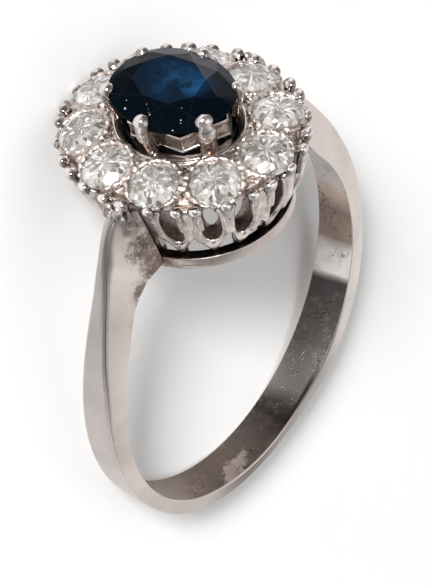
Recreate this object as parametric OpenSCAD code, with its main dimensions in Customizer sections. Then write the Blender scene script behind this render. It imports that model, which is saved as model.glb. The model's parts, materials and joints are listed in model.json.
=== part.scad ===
// Sapphire and diamond cluster ring, lying on its side.
// The metal is one soldered piece: band, gallery rail, pierced coronet, seat plate and claws.
// Band coordinates: X across the shoulders, Y towards the head, Z along the finger.
// Head coordinates: X along the finger, Y across the shoulders, Z up through the head.
// All heights in the head are measured from the middle of the finger hole.

/* [Band] */
// Inside diameter of the finger hole
finger_d = 17; // [16.6:0.1:17.2]
// Height of the flat top of the finger hole
hole_flat_h = 6.95; // [6.85:0.05:7.05]
// Width of the band against the finger
band_w = 2; // [1.8:0.1:2.4]
// Height of the flat part of the band's sides, next to the finger hole
land_t = 0.15; // [0.1:0.05:0.3]
// Width of the outer face below the shoulders
face_w = 1.55; // [1.3:0.05:1.7]
// Width of the knife edge where a shoulder ends
edge_w = 0.36; // [0.3:0.02:0.5]
// Thickness of the band at the bottom
bottom_t = 1; // [0.9:0.05:1.2]
// Thickness of the band where the straight shoulders begin
side_t = 0.85; // [0.75:0.05:1]
// Angle from the bottom at which the straight shoulders begin
shoulder_angle = 116; // [114:1:118]
// Half the distance between the shoulder tops
shoulder_half = 5.35; // [5.2:0.05:5.5]
// Height of the shoulder tops
shoulder_h = 10.25; // [10.1:0.05:10.4]

/* [Head] */
// Length of the head over the outer claws, along the finger
head_l = 11.3; // [11.2:0.02:11.4]
// Width of the head over the outer claws, across the shoulders
head_w = 9.9; // [9.8:0.02:10]
// Height of the top of the gallery rail
rail_top = 7.3; // [7.25:0.05:7.35]
// Height of the gallery rail's section
rail_h = 0.6; // [0.5:0.05:0.65]
// Thickness of the gallery rail
rail_t = 0.55; // [0.5:0.05:0.6]
// Height of the pointed feet of the coronet
foot_h = 7.45; // [7.4:0.05:7.55]
// Height at which the coronet's wall ends
wall_top = 10.8; // [10.7:0.05:10.9]
// Thickness of the coronet's wall
wall_t = 0.5; // [0.45:0.05:0.55]
// Height of the claw tips over the diamonds
claw_h = 11.2; // [11.1:0.05:11.3]
// Radius of an outer claw
claw_r = 0.24; // [0.2:0.02:0.26]
// Angle from the middle claw of a diamond to the claw on each side of it
claw_step = 12; // [11:0.5:13]
// Angle from the middle of a diamond to the pointed foot on each side of it
foot_step = 8.5; // [8:0.5:9]
// Angle from the middle of a diamond to the opening on each side of it
arch_step = 7.8; // [7.6:0.1:8]
// Width of the egg-shaped opening in an arch
arch_w = 0.86; // [0.8:0.02:0.9]
// Height of the opening in an arch
arch_h = 2.9; // [2.8:0.05:3]
// Height of the metal under an arch's opening
arch_sill = 0.8; // [0.7:0.05:0.9]
// Height of the pointed notch between two feet
notch_h = 1.3; // [1.2:0.05:1.4]

/* [Seat] */
// Height of the outer edge of the seat plate
plate_h = 10.95; // [10.9:0.05:11]
// Thickness of the seat plate at its outer edge
plate_t = 0.9; // [0.8:0.05:1]
// Height of the rim of the well under the sapphire
well_top = 11.3; // [11.25:0.05:11.35]
// Depth of the well's wall
well_deep = 1.45; // [1.4:0.05:1.5]
// Thickness of the well's wall
well_t = 0.3; // [0.25:0.05:0.35]
// Height of the wire under the sapphire
basket_h = 12; // [11.95:0.05:12.05]

/* [Stones] */
// Number of diamonds in the border
diamonds = 10; // [10:1:10]
// Diameter of each diamond
diamond_d = 2.2; // [2.1:0.05:2.25]
// Height of the diamonds' girdles
diamond_h = 11.15; // [11.1:0.05:11.2]
// Outward lean of the diamonds
diamond_lean = 12; // [10:1:14]
// Length of the sapphire, along the finger
sapphire_l = 5.54; // [5.4:0.02:5.6]
// Width of the sapphire, across the shoulders
sapphire_w = 4.36; // [4.2:0.02:4.4]
// Depth of the sapphire
sapphire_d = 2.6; // [2.4:0.1:2.7]
// Height of the sapphire's girdle
sapphire_h = 12.85; // [12.8:0.05:12.9]
// Clearance between a stone and the metal
stone_gap = 0.05; // [0.04:0.01:0.06]

/* [Hidden] */

white_gold = "#b9b2ac";
diamond_tint = "#e6e9ea";
sapphire_tint = "#101c3a";

hole_r = finger_d / 2;
outer_r = hole_r + side_t;
// How far inside the hole the rough band starts before it is bored
bore_stock = 0.5;
// Angles from the bottom where the shoulders start to narrow, reach the knife edge, and end
narrow_from = 85;
knife_from = 153;
band_end = 161;
// Angle between two sections of the band
band_step = 5;
// How far every cutting shape reaches past what it cuts
past = 1;

// How far the outer claws stand out of the oval that they follow
claw_out = 0.145;

// Semi-axes of the ovals round the head, along and across the finger
rail_oval = [4.2, 3.9];
foot_oval = [4.15, 3.8];
wall_oval = [5.45, 4.7];
claw_oval = [head_l / 2 - claw_out, head_w / 2 - claw_out];
stone_oval = [4.32, 3.54];
plate_oval = [4.95, 4.2];
well_oval = [2.85, 2.25];
grain_oval = [3.5, 2.78];
basket_oval = [2.32, 1.74];
wall_sides = 48;
ring_sides = 46;

// Profiles of the claws from foot to tip: [outwards, height, radius]
outer_claw_rows = [
    [-0.42, wall_top - 1.2, claw_r - 0.06],
    [-0.06, claw_h - claw_r, claw_r],
    [-0.08, claw_h - 0.4 * claw_r, 0.8 * claw_r],
    [-0.1, claw_h, 0.3 * claw_r]
];
centre_claw_rows = [
    [-0.42, 10.6, 0.26],
    [-0.3, 11.3, 0.26],
    [-0.05, 12.2, 0.26],
    [0.1, 12.8, 0.27],
    [0.02, 13.12, 0.29],
    [-0.1, 13.3, 0.23],
    [-0.18, 13.37, 0.08]
];
grain_rows = [[0, 10.8, 0.26], [0, 11.3, 0.24], [0, 11.42, 0.1]];
// Even turns round the sapphire's girdle at which its claws stand
centre_claw_turns = [30, 90, 150, 210, 274, 333];

// Proportions of a brilliant, in parts of its radius
table_part = 0.57;
star_part = 0.79;
lower_part = 0.24;
girdle_part = 0.04;
crown_slope = tan(34.5);
pavilion_slope = tan(40.75);
crown_part = (1 - table_part) * crown_slope;
sapphire_scale = sapphire_d / (pavilion_slope + girdle_part + crown_part);
// Radius of the drilled hole under a diamond
drill_r = 0.42;

// The ring lies on its end claws and on the outer edge of its band
claw_wide_h = claw_h - 1.2 * claw_r;
rest_tilt = atan2((head_l - face_w) / 2, claw_wide_h + hole_r + bottom_t);
rest_drop = head_l / 2 * cos(rest_tilt) - claw_wide_h * sin(rest_tilt);
// Its middle lies half way between the bottom of the band and the tips of the centre claws
tips_u = sapphire_l / 2 * cos(30) + centre_claw_rows[4][2];
tips_y = centre_claw_rows[6][1] * cos(rest_tilt) + tips_u * sin(rest_tilt);
bottom_y = (hole_r + bottom_t) * cos(rest_tilt) + face_w / 2 * sin(rest_tilt);
rest_shift = (bottom_y - tips_y) / 2;

function diamond_name(i) = str("diamond_", i < 10 ? "0" : "", i);

function lerp(a, b, t) = a + (b - a) * t;

// Outer radius of the band at an angle from the bottom: round, then straight
function band_radius(angle) =
    let (thick = lerp(bottom_t, side_t, pow(min(abs(angle) / 100, 1), 2)))
    abs(angle) < shoulder_angle ? hole_r + thick : outer_r / cos(abs(angle) - shoulder_angle);

// Half the width of the outer face at an angle from the bottom
function band_half(angle) =
    let (along = max(0, abs(angle) - narrow_from) / (knife_from - narrow_from))
    max(edge_w, lerp(face_w, edge_w, pow(along, 1.3))) / 2;

// Angle round an oval that keeps equal steps along its edge
function even(turn, oval) =
    let (uneven = (oval[0] - oval[1]) / (oval[0] + oval[1]))
    turn + uneven / 2 * 180 / PI * sin(2 * turn);

// Direction that points straight out of an oval at an angle
function outward(angle, oval) = atan2(sin(angle) / oval[1], cos(angle) / oval[0]);

// Places a child on an oval at an even turn, with X outwards
module on_oval(turn, oval) {
    angle = even(turn, oval);
    translate([oval[0] * cos(angle), oval[1] * sin(angle), 0])
        rotate([0, 0, outward(angle, oval)]) children();
}

// Closed ring on an oval: the section lists [outwards, height], clockwise seen along the ring
module oval_ring(oval, section, sides) {
    count = len(section);
    points = [for (i = [0:sides - 1], p = section)
        let (angle = 360 * i / sides)
        [(oval[0] + p[0]) * cos(angle), (oval[1] + p[0]) * sin(angle), p[1]]];
    faces = [for (i = [0:sides - 1], j = [0:count - 1])
        let (here = i * count, next = ((i + 1) % sides) * count, k = (j + 1) % count)
        [here + j, next + j, next + k, here + k]];
    polyhedron(points, faces, convexity = 8);
}

// Round wire in the plane of X and Z, through rows of [x, z, radius] from foot to tip
module wire(rows, sides) {
    last = len(rows) - 1;
    points = [for (i = [0:last], j = [0:sides - 1])
        let (
            before = rows[max(i - 1, 0)],
            after = rows[min(i + 1, last)],
            slope = atan2(after[1] - before[1], after[0] - before[0]),
            turn = 360 * j / sides,
            side = rows[i][2] * cos(turn)
        )
        [rows[i][0] - side * sin(slope), rows[i][2] * sin(turn), rows[i][1] + side * cos(slope)]];
    walls = [for (i = [0:last - 1], j = [0:sides - 1])
        let (k = (j + 1) % sides)
        [i * sides + j, i * sides + k, (i + 1) * sides + k, (i + 1) * sides + j]];
    foot = [for (j = [sides - 1:-1:0]) j];
    tip = [for (j = [0:sides - 1]) last * sides + j];
    polyhedron(points, concat([foot], walls, [tip]), convexity = 4);
}

// The band before it is bored, swept as a trapezoid that narrows to a knife edge
module band_blank() {
    count = floor(2 * band_end / band_step);
    points = [for (i = [0:count])
        let (
            angle = lerp(-band_end, band_end, i / count),
            half = band_half(angle),
            spoke = [sin(angle), -cos(angle)],
            inner = (hole_r - bore_stock) * spoke,
            waist = (hole_r + land_t) * spoke,
            rim = band_radius(angle) * spoke
        )
        for (p = [[inner, -band_w / 2], [waist, -band_w / 2], [rim, -half],
                  [rim, half], [waist, band_w / 2], [inner, band_w / 2]])
        [p[0][0], p[0][1], p[1]]];
    walls = [for (i = [0:count - 1], j = [0:5])
        let (k = (j + 1) % 6)
        [i * 6 + j, i * 6 + k, (i + 1) * 6 + k, (i + 1) * 6 + j]];
    start = [for (j = [5:-1:0]) j];
    end = [for (j = [0:5]) count * 6 + j];
    polyhedron(points, concat([start], walls, [end]), convexity = 6);
}

// The finger hole, cut flat at the top where the gallery rail crosses it
module finger_hole() {
    long = band_w + 2 * past;
    intersection() {
        cylinder(r = hole_r, h = long, center = true, $fn = 120);
        translate([-hole_r, -hole_r - past, -long])
            cube([2 * hole_r, hole_r + past + hole_flat_h, 2 * long]);
    }
}

// What is cut away for the head: the space inside the coronet and all above the shoulders
module head_space() {
    low = rail_oval[1] - 0.35;
    high = wall_oval[1] - 0.4;
    wide = shoulder_half + 3;
    // The shoulders end in a short slope down and outwards
    slope_h = shoulder_h - 1.8;
    linear_extrude(height = band_w + 2 * past, center = true)
        polygon([
            [-low, hole_flat_h - past], [low, hole_flat_h - past], [high, wall_top - 0.1],
            [shoulder_half, shoulder_h], [wide, slope_h], [wide, claw_h + 2 * past],
            [-wide, claw_h + 2 * past], [-wide, slope_h], [-shoulder_half, shoulder_h],
            [-high, wall_top - 0.1]
        ]);
}

module band() {
    difference() {
        band_blank();
        finger_hole();
        head_space();
    }
}

// The oval rail that lies on the finger
module gallery_rail() {
    base = rail_top - rail_h;
    oval_ring(rail_oval, [[0, base], [-rail_t, base], [-rail_t, rail_top], [0, rail_top]], wall_sides);
}

// The coronet's flaring wall before it is pierced
module coronet_wall() {
    low = [foot_oval[0] - wall_oval[0], foot_h];
    middle = [-0.45, lerp(foot_h, wall_top, 0.55)];
    oval_ring(wall_oval, [
        low, low - [wall_t, 0], middle - [wall_t, 0], [-wall_t, wall_top], [0, wall_top], middle
    ], wall_sides);
}

// Runs a flat shape, drawn in width and height, through the coronet's wall
module through_wall() {
    rotate([90, 0, 90]) linear_extrude(height = 3, center = true) children();
}

// Egg-shaped opening inside one arch, open between its two claws
module arch_opening() {
    middle_h = foot_h + arch_sill + arch_h / 2;
    through_wall() polygon([for (a = [0:36:324])
        [arch_w / 2 * cos(a) * (1 - 0.22 * sin(a)), middle_h + arch_h / 2 * sin(a)]]);
}

// Pointed notch between the feet of two arches
module foot_notch() {
    foot = 0.46;
    tip = 0.14;
    low = foot_h - 0.2;
    high = foot_h + notch_h;
    through_wall() polygon([[-foot, low], [foot, low], [tip, high], [-tip, high]]);
}

// Short pin that carries an arch on the gallery rail
module foot_pin() {
    sunk = 0.2;
    translate([0, 0, rail_top - sunk])
        cylinder(r = 0.2, h = foot_h - rail_top + sunk + 0.3, $fn = 8);
}

module coronet() {
    step = 360 / diamonds;
    difference() {
        coronet_wall();
        for (i = [0:diamonds - 1]) {
            on_oval(i * step, foot_oval) foot_notch();
            on_oval((i + 0.5) * step, foot_oval) foot_notch();
            for (side = [-1, 1])
                on_oval(i * step + side * arch_step, wall_oval - [0.4, 0.4]) arch_opening();
        }
    }
    for (i = [0:diamonds - 1], side = [-1, 1])
        on_oval(i * step + side * foot_step, foot_oval - [wall_t, wall_t] / 2) foot_pin();
}

// Three claws with round heads in front of each diamond
module outer_claws() {
    for (i = [0:diamonds - 1], side = [-1, 0, 1])
        on_oval(i * 360 / diamonds + side * claw_step, claw_oval) wire(outer_claw_rows, 7);
}

// Sloping plate that the diamonds are sunk in, with the well's wall on its inside
module seat_plate() {
    reach = plate_oval[0] - well_oval[0];
    well_low = well_top - well_deep;
    oval_ring(plate_oval, [
        [0, plate_h - plate_t], [0.05 - reach, well_low + 0.45], [0.05 - reach, well_low],
        [-reach - well_t, well_low], [-reach - well_t, well_top], [-reach, well_top],
        [0.15 - reach, well_top - 0.12], [0, plate_h]
    ], ring_sides);
}

// Grains of metal raised between the diamonds
module grains() {
    for (i = [0:diamonds - 1])
        on_oval((i + 0.5) * 360 / diamonds, grain_oval) wire(grain_rows, 6);
}

// Oval wire under the sapphire's girdle
module basket_rail() {
    wire_r = 0.16;
    oval_ring(basket_oval, [for (a = [0:60:300])
        [wire_r * cos(a), basket_h - wire_r * sin(a)]], ring_sides);
}

module centre_setting() {
    basket_rail();
    for (turn = centre_claw_turns)
        on_oval(turn, [sapphire_l, sapphire_w] / 2) wire(centre_claw_rows, 8);
}

// Space round a diamond of the given radius, with the hole drilled under it
module diamond_space(radius) {
    culet = pavilion_slope * radius + stone_gap;
    top = (girdle_part + crown_part) * radius + 1.5 * stone_gap;
    bottom = -culet - 1.2;
    rotate_extrude($fn = 16)
        polygon([
            [0, bottom], [drill_r, bottom], [drill_r, drill_r * pavilion_slope - culet],
            [radius + 1.5 * stone_gap, -stone_gap],
            [radius + 1.5 * stone_gap, girdle_part * radius + stone_gap],
            [table_part * radius + stone_gap, top], [0, top]
        ]);
}

// Places a child at the girdle of a diamond, leaning outwards
module on_seat(i) {
    on_oval((i - 1) * 360 / diamonds, stone_oval)
        translate([0, 0, diamond_h]) rotate([0, diamond_lean, 0]) children();
}

// Space round the sapphire
module sapphire_space() {
    grow = 1 + 2.6 * stone_gap / sapphire_w;
    rim = 0.02;
    translate([0, 0, sapphire_h])
        scale([grow * sapphire_l / 2, grow * sapphire_w / 2, grow * sapphire_scale])
        rotate_extrude($fn = 32)
        polygon([
            [0, -pavilion_slope], [1, -rim], [1, girdle_part + rim],
            [table_part, girdle_part + crown_part], [0, girdle_part + crown_part]
        ]);
}

// Everything above the finger hole, brought to its exact length and width over the claws
module head() {
    resize([head_l, head_w, 0])
        difference() {
            union() {
                gallery_rail();
                coronet();
                outer_claws();
                seat_plate();
                grains();
                centre_setting();
            }
            for (i = [1:diamonds]) on_seat(i) diamond_space(diamond_d / 2);
            sapphire_space();
        }
}

// Brilliant of radius 1, with its girdle's lower edge at height 0
module brilliant() {
    function spot(r, turn, z) = [r * cos(turn), r * sin(turn), z];
    half = 22.5;
    table_z = girdle_part + crown_part;
    star_z = girdle_part + (1 - star_part * cos(half)) * crown_slope;
    lower_z = -(1 - lower_part * cos(half)) * pavilion_slope;
    points = concat(
        [for (k = [0:7]) spot(table_part, 45 * k, table_z)],
        [for (k = [0:7]) spot(star_part, 45 * k + half, star_z)],
        [for (k = [0:15]) spot(1, half * k, girdle_part)],
        [for (k = [0:15]) spot(1, half * k, 0)],
        [for (k = [0:7]) spot(lower_part, 45 * k + half, lower_z)],
        [[0, 0, -pavilion_slope]]
    );
    // First point of each round of points
    table = 0;
    star = 8;
    top = 16;
    bottom = 32;
    lower = 48;
    culet = 56;
    faces = concat(
        [[for (k = [7:-1:0]) table + k]],
        [for (k = [0:7]) [table + k, table + (k + 1) % 8, star + k]],
        [for (k = [0:7]) [table + k, star + k, top + 2 * k, star + (k + 7) % 8]],
        [for (k = [0:7]) [star + k, top + 2 * k + 1, top + 2 * k]],
        [for (k = [0:7]) [star + k, top + (2 * k + 2) % 16, top + 2 * k + 1]],
        [for (k = [0:15]) [top + k, top + (k + 1) % 16, bottom + (k + 1) % 16, bottom + k]],
        [for (k = [0:7]) [lower + k, bottom + 2 * k, bottom + 2 * k + 1]],
        [for (k = [0:7]) [lower + k, bottom + 2 * k + 1, bottom + (2 * k + 2) % 16]],
        [for (k = [0:7]) [culet, lower + (k + 7) % 8, bottom + 2 * k, lower + k]]
    );
    polyhedron(points, faces);
}

// Turns head coordinates into band coordinates
module on_band() {
    rotate([-90, -90, 0]) children();
}

// Lays the ring on its side on the ground, with its middle at the origin
module lying() {
    translate([0, rest_shift, rest_drop]) rotate([rest_tilt, 0, 0]) children();
}

module ring_mount() {
    color(white_gold) lying() {
        band();
        on_band() head();
    }
}

module sapphire() {
    color(sapphire_tint) lying() on_band()
        translate([0, 0, sapphire_h])
        scale([sapphire_l / 2, sapphire_w / 2, sapphire_scale]) brilliant();
}

module diamond(i) {
    color(diamond_tint) lying() on_band()
        on_seat(i) scale(diamond_d / 2) brilliant();
}

ring_mount();
sapphire();
for (i = [1:diamonds])
    diamond(i);
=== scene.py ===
"""Looks of a sapphire and diamond cluster ring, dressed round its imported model.

Shapes are worked out in the ring's own axes, in millimetres: u along the finger, v across the
shoulders, w up through the head. RingFrame turns them into metres in the row frame.
"""

import json
import logging
import math
from dataclasses import dataclass
from enum import Enum
from functools import reduce
from typing import ClassVar, Self

import bmesh
import bpy
import numpy as np
from bpy.types import ID, Material, Mesh, Node, NodeSocket, NodeTree, Object
from mathutils import Matrix, Vector


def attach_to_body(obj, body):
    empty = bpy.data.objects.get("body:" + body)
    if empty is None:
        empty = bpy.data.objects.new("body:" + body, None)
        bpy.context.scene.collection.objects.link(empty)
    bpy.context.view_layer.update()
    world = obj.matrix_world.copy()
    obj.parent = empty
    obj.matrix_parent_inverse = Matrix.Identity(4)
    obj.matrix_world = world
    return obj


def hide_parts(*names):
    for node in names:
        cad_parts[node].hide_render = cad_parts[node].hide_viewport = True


LOG = logging.getLogger("ring")
BODY = "root"
MOUNT_NODE = "ring_mount"
MM = 0.001
# Diamonds round the head, and the even turn from one to the next, in degrees
DIAMONDS = 10
HEAD_STEP = 360.0 / DIAMONDS
# What a rod's mesh stores: 0 where its side faces out or in, 1 where it faces along the row; the claws'
# finishes paint dark reflections by it
SIDEWAYS = "sideways"
Colour = tuple[float, float, float, float]
Triple = tuple[float, float, float]
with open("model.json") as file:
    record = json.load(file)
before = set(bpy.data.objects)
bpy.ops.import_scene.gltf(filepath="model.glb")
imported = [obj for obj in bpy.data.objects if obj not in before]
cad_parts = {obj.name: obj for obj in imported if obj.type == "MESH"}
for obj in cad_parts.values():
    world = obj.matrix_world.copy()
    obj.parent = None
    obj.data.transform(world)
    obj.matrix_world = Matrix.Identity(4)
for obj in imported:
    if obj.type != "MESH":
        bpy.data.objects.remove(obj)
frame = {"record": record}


class Slot(Enum):
    """Material slots of the record."""

    WHITE_GOLD = "white_gold"
    SAPPHIRE = "sapphire"
    DIAMOND = "diamond"


class RingFrame:
    """The ring's own axes, taken from the finger hole that the record states."""

    def __init__(self, record: dict) -> None:
        """Reads the finger hole's middle and axis.

        Args:
            record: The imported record.
        """
        hole = record["mounts"][0]
        self.centre = Vector(hole["pos_m"])
        finger = Vector(hole["axis"]).normalized()
        across = Vector((1.0, 0.0, 0.0))
        head = finger.cross(across)
        self.turn = Matrix((finger, across, head)).transposed()

    def matrix(self) -> Matrix:
        """Returns the matrix that turns ring millimetres into row metres."""
        return Matrix.Translation(self.centre) @ self.turn.to_4x4() @ Matrix.Scale(MM, 4)

    def place(self, u: float, v: float, w: float) -> Vector:
        """Returns a point given in ring millimetres, in row metres."""
        return self.matrix() @ Vector((u, v, w))

    def direction(self, u: float, v: float, w: float) -> Vector:
        """Returns a direction given in ring axes, in row axes."""
        return (self.turn @ Vector((u, v, w))).normalized()


RING = RingFrame(frame["record"])


class Formula:
    """A number that math nodes work out, in a material or a Geometry Nodes tree."""

    def __init__(self, socket: NodeSocket) -> None:
        """Keeps the socket that gives the number, and its tree."""
        self.tree = socket.id_data
        self.socket = socket

    def math(self, operation: str, *others: Self | float, clamp: bool = False) -> Self:
        """Adds a Math node.

        Args:
            operation: The node's operation.
            others: Further operands, formulas or plain numbers.
            clamp: Whether the result is held between 0 and 1.

        Returns:
            The result as a formula.
        """
        node = self.tree.nodes.new("ShaderNodeMath")
        node.operation = operation
        node.use_clamp = clamp
        for socket, value in zip(node.inputs, (self, *others)):
            attach(value, socket)
        return Formula(node.outputs[0])

    def __add__(self, other: Self | float) -> Self:
        """Sum."""
        return self.math("ADD", other)

    def __sub__(self, other: Self | float) -> Self:
        """Difference."""
        return self.math("SUBTRACT", other)

    def __mul__(self, other: Self | float) -> Self:
        """Product."""
        return self.math("MULTIPLY", other)

    def __truediv__(self, other: Self | float) -> Self:
        """Quotient."""
        return self.math("DIVIDE", other)

    def plus(self, factor: Self | float, other: Self | float) -> Self:
        """Returns this formula times a factor, plus another."""
        return self.math("MULTIPLY_ADD", factor, other)

    def clamp(self) -> Self:
        """Holds the number between 0 and 1."""
        return self.math("ADD", 0.0, clamp=True)

    def rise(self, low: float, high: float, top: float = 1.0) -> Self:
        """Eases from 0 at one value to a top at another.

        Args:
            low: Value at which the result is 0.
            high: Value at which the result is the top.
            top: Greatest result.

        Returns:
            The eased number.
        """
        node = self.tree.nodes.new("ShaderNodeMapRange")
        node.interpolation_type = "SMOOTHSTEP"
        attach(self, node.inputs["Value"])
        for name, value in zip(("From Min", "From Max", "To Min", "To Max"), (low, high, 0.0, top)):
            node.inputs[name].default_value = value
        return Formula(node.outputs["Result"])

    def band(self, middle: float, half: float, soft: float) -> Self:
        """Returns 1 within half of a middle value, easing to 0 outside."""
        return (self - middle).math("ABSOLUTE").rise(half + soft, half - soft)


def attach(value: object, socket: NodeSocket) -> None:
    """Feeds a socket.

    Args:
        value: A formula, a socket or a plain value.
        socket: The input that takes it.
    """
    if isinstance(value, Formula):
        value = value.socket
    if isinstance(value, NodeSocket):
        socket.id_data.links.new(value, socket)
    else:
        socket.default_value = value


def add_node(tree: NodeTree, kind: str, feeds: dict, **settings: object) -> Node:
    """Adds a node with its settings and inputs.

    Args:
        tree: The tree.
        kind: The node's type name.
        feeds: What each input takes, by name or number.
        settings: Properties of the node.

    Returns:
        The new node.
    """
    node = tree.nodes.new(kind)
    for name, value in settings.items():
        setattr(node, name, value)
    for key, value in feeds.items():
        attach(value, node.inputs[key])
    return node


@dataclass(frozen=True)
class Spot:
    """A round place: its middle in ring millimetres, its full and its whole reach, and its strength."""

    middle: Triple
    inner: float
    outer: float
    strength: float = 1.0


def separated(vector: NodeSocket) -> tuple[Formula, ...]:
    """Splits a vector into its three numbers."""
    node = add_node(vector.id_data, "ShaderNodeSeparateXYZ", {0: vector})
    return tuple(map(Formula, node.outputs))


class Paint:
    """Builds one procedural material round a Principled shader, and keeps its colour so far."""

    def __init__(self, name: str) -> None:
        """Makes the material with its shader and output.

        Args:
            name: The material's name.
        """
        self.material = bpy.data.materials.new(name)
        self.material.use_nodes = True
        self.tree = self.material.node_tree
        self.tree.nodes.clear()
        self.shader = self.tree.nodes.new("ShaderNodeBsdfPrincipled")
        output = self.tree.nodes.new("ShaderNodeOutputMaterial")
        self.tree.links.new(self.shader.outputs[0], output.inputs[0])
        place = self.tree.nodes.new("ShaderNodeTexCoord")
        self.place_m = place.outputs["Object"]
        self.uv = place.outputs["UV"]
        self.colour = grey(1.0)

    def finish(self, **values: object) -> Material:
        """Sets or links the shader's inputs.

        Args:
            values: What they take beside the colour so far, with spaces in names as underscores.

        Returns:
            The material.
        """
        attach(self.colour, self.shader.inputs["Base Color"])
        for name, value in values.items():
            attach(value, self.shader.inputs[name.replace("_", " ")])
        return self.material

    def add(self, kind: str, feeds: dict, **settings: object) -> Node:
        """Adds a node to the material, its kind given without the first two words."""
        return add_node(self.tree, "ShaderNode" + kind, feeds, **settings)

    def vector(self, operation: str, one: NodeSocket, other: object) -> Node:
        """Adds a node that reckons with two vectors."""
        return self.add("VectorMath", {0: one, 1: other}, operation=operation)

    def scaled(self, per_mm: Triple) -> NodeSocket:
        """Returns Object coordinates times a number of repeats for each millimetre, by axis."""
        per_m = tuple(repeats / MM for repeats in per_mm)
        return self.vector("MULTIPLY", self.place_m, per_m).outputs[0]

    def noise(
        self, per_mm: float, detail: float = 2.0, rough: float = 0.5,
        stretch: Triple = (1.0, 1.0, 1.0),
    ) -> Formula:
        """Adds smooth noise on Object coordinates.

        Args:
            per_mm: Repeats in a millimetre.
            detail: How many finer layers it has.
            rough: How strong the finer layers are.
            stretch: Factor on the repeats, by axis.

        Returns:
            Noise from 0 to 1.
        """
        place = self.scaled(tuple(per_mm * factor for factor in stretch))
        feeds = {"Vector": place, "Scale": 1.0, "Detail": detail, "Roughness": rough}
        return Formula(self.add("TexNoise", feeds).outputs[0])

    def cells(self, per_mm: float) -> Formula:
        """Returns the distance to the nearest of scattered points, in repeats."""
        feeds = {"Vector": self.scaled((per_mm, per_mm, per_mm)), "Scale": 1.0}
        return Formula(self.add("TexVoronoi", feeds).outputs["Distance"])

    def patches(self, place: NodeSocket) -> Formula:
        """Returns a value from 0 to 1 for each angular patch of a space."""
        node = self.add("TexVoronoi", {"Vector": place, "Scale": 1.0})
        return separated(node.outputs["Color"])[0]

    def shards(self, per_mm: float, squash: float = 1.4) -> Formula:
        """Returns the values of patches that are shorter on the row's second axis."""
        return self.patches(self.scaled((per_mm, per_mm * squash, per_mm)))

    def wedges(self, space: tuple, repeats: Triple) -> tuple[Formula, Formula]:
        """Splits a space of its own into patches.

        Args:
            space: Its three coordinates.
            repeats: How many patches there are in a unit of each.

        Returns:
            The patches' values, and smooth noise in the same space.
        """
        parts = [part * many for part, many in zip(space, repeats)]
        place = self.add("CombineXYZ", dict(enumerate(parts))).outputs[0]
        noise = self.add("TexNoise", {"Vector": place, "Scale": 1.0})
        return self.patches(place), Formula(noise.outputs[0])

    def stored(self, name: str) -> Formula:
        """Returns a number that the mesh stores under a name."""
        return Formula(self.add("Attribute", {}, attribute_name=name).outputs["Fac"])

    def near(self, spot: Spot) -> Formula:
        """Returns 1 within a spot's full reach, easing to 0 at its whole one, without its strength."""
        node = self.vector("DISTANCE", self.place_m, tuple(RING.place(*spot.middle)))
        return Formula(node.outputs["Value"]).rise(spot.outer * MM, spot.inner * MM)

    def strongest(self, spots: tuple[Spot, ...]) -> Formula:
        """Joins spots into one mask, each as strong as it says."""
        masks = [self.near(spot) * spot.strength for spot in spots]
        return reduce(lambda one, other: one.math("MAXIMUM", other), masks)

    def round_and_across(self) -> tuple[Formula, ...]:
        """Returns the two parts of the piece's own UV map."""
        return separated(self.uv)[:2]

    def mix(self, share: Formula, low: object, high: object) -> NodeSocket:
        """Mixes two colours.

        Args:
            share: Share of the second colour, from 0 to 1.
            low: The first colour, a socket or plain numbers.
            high: The second colour.

        Returns:
            The mixed colour.
        """
        node = self.add("Mix", {"Factor": share}, data_type="RGBA")
        ends = [socket for socket in node.inputs if socket.type == "RGBA"]
        attach(low, ends[0])
        attach(high, ends[1])
        return next(socket for socket in node.outputs if socket.type == "RGBA")

    def cover(self, share: Formula, colour: object) -> None:
        """Lays a colour over the colour so far, by a share from 0 to 1."""
        self.colour = self.mix(share, self.colour, colour)

    def head_height(self) -> Formula:
        """Measures along the ring's head axis.

        Returns:
            The height in millimetres from the finger's middle.
        """
        away = self.vector("SUBTRACT", self.place_m, tuple(RING.centre)).outputs[0]
        node = self.vector("DOT_PRODUCT", away, tuple(RING.direction(0, 0, 1) / MM))
        return Formula(node.outputs["Value"])

    def ramp(self, place: Formula, stops: list[tuple[float, Colour]]) -> NodeSocket:
        """Returns a colour that steps through stops.

        Args:
            place: Where on the ramp, from 0 to 1.
            stops: The stops in order, each a place and a colour.

        Returns:
            The colour.
        """
        node = self.add("ValToRGB", {0: place})
        marks = node.color_ramp.elements
        for mark, (at, colour) in zip((marks[0], marks[1]), (stops[0], stops[-1])):
            mark.position = at
            mark.color = colour
        for at, colour in stops[1:-1]:
            marks.new(at).color = colour
        return node.outputs[0]

    def bump(self, height: Formula, deep_mm: float) -> None:
        """Adds relief of a depth in millimetres from a height between 0 and 1."""
        feeds = {"Height": height, "Strength": 1.0, "Distance": deep_mm * MM}
        self.tree.links.new(self.add("Bump", feeds).outputs[0], self.shader.inputs["Normal"])


def grey(level: float) -> Colour:
    """Returns a plain grey of a given level."""
    return (level, level, level, 1.0)


def gold(level: float, warm: float = 0.12) -> Colour:
    """Returns the metal's pinkish grey at a level, with more red and less blue where it is warm."""
    return (level * (1 + warm), level, level * (1 - warm / 2), 1.0)


@dataclass(frozen=True)
class EdgeLine:
    """A painted line along an edge of the band: painted shade where it is darker, a painted highlight where
    it is brighter.

    It lies between two turns from the bottom, in degrees, and between two shares of the way round
    the band's section. Its edges ease out over soft and its ends over fade, both as shares too.
    """

    turns: tuple[float, float]
    across: tuple[float, float]
    colour: Colour
    strength: float = 0.85
    soft: float = 0.02
    fade: float = 0.03


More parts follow.
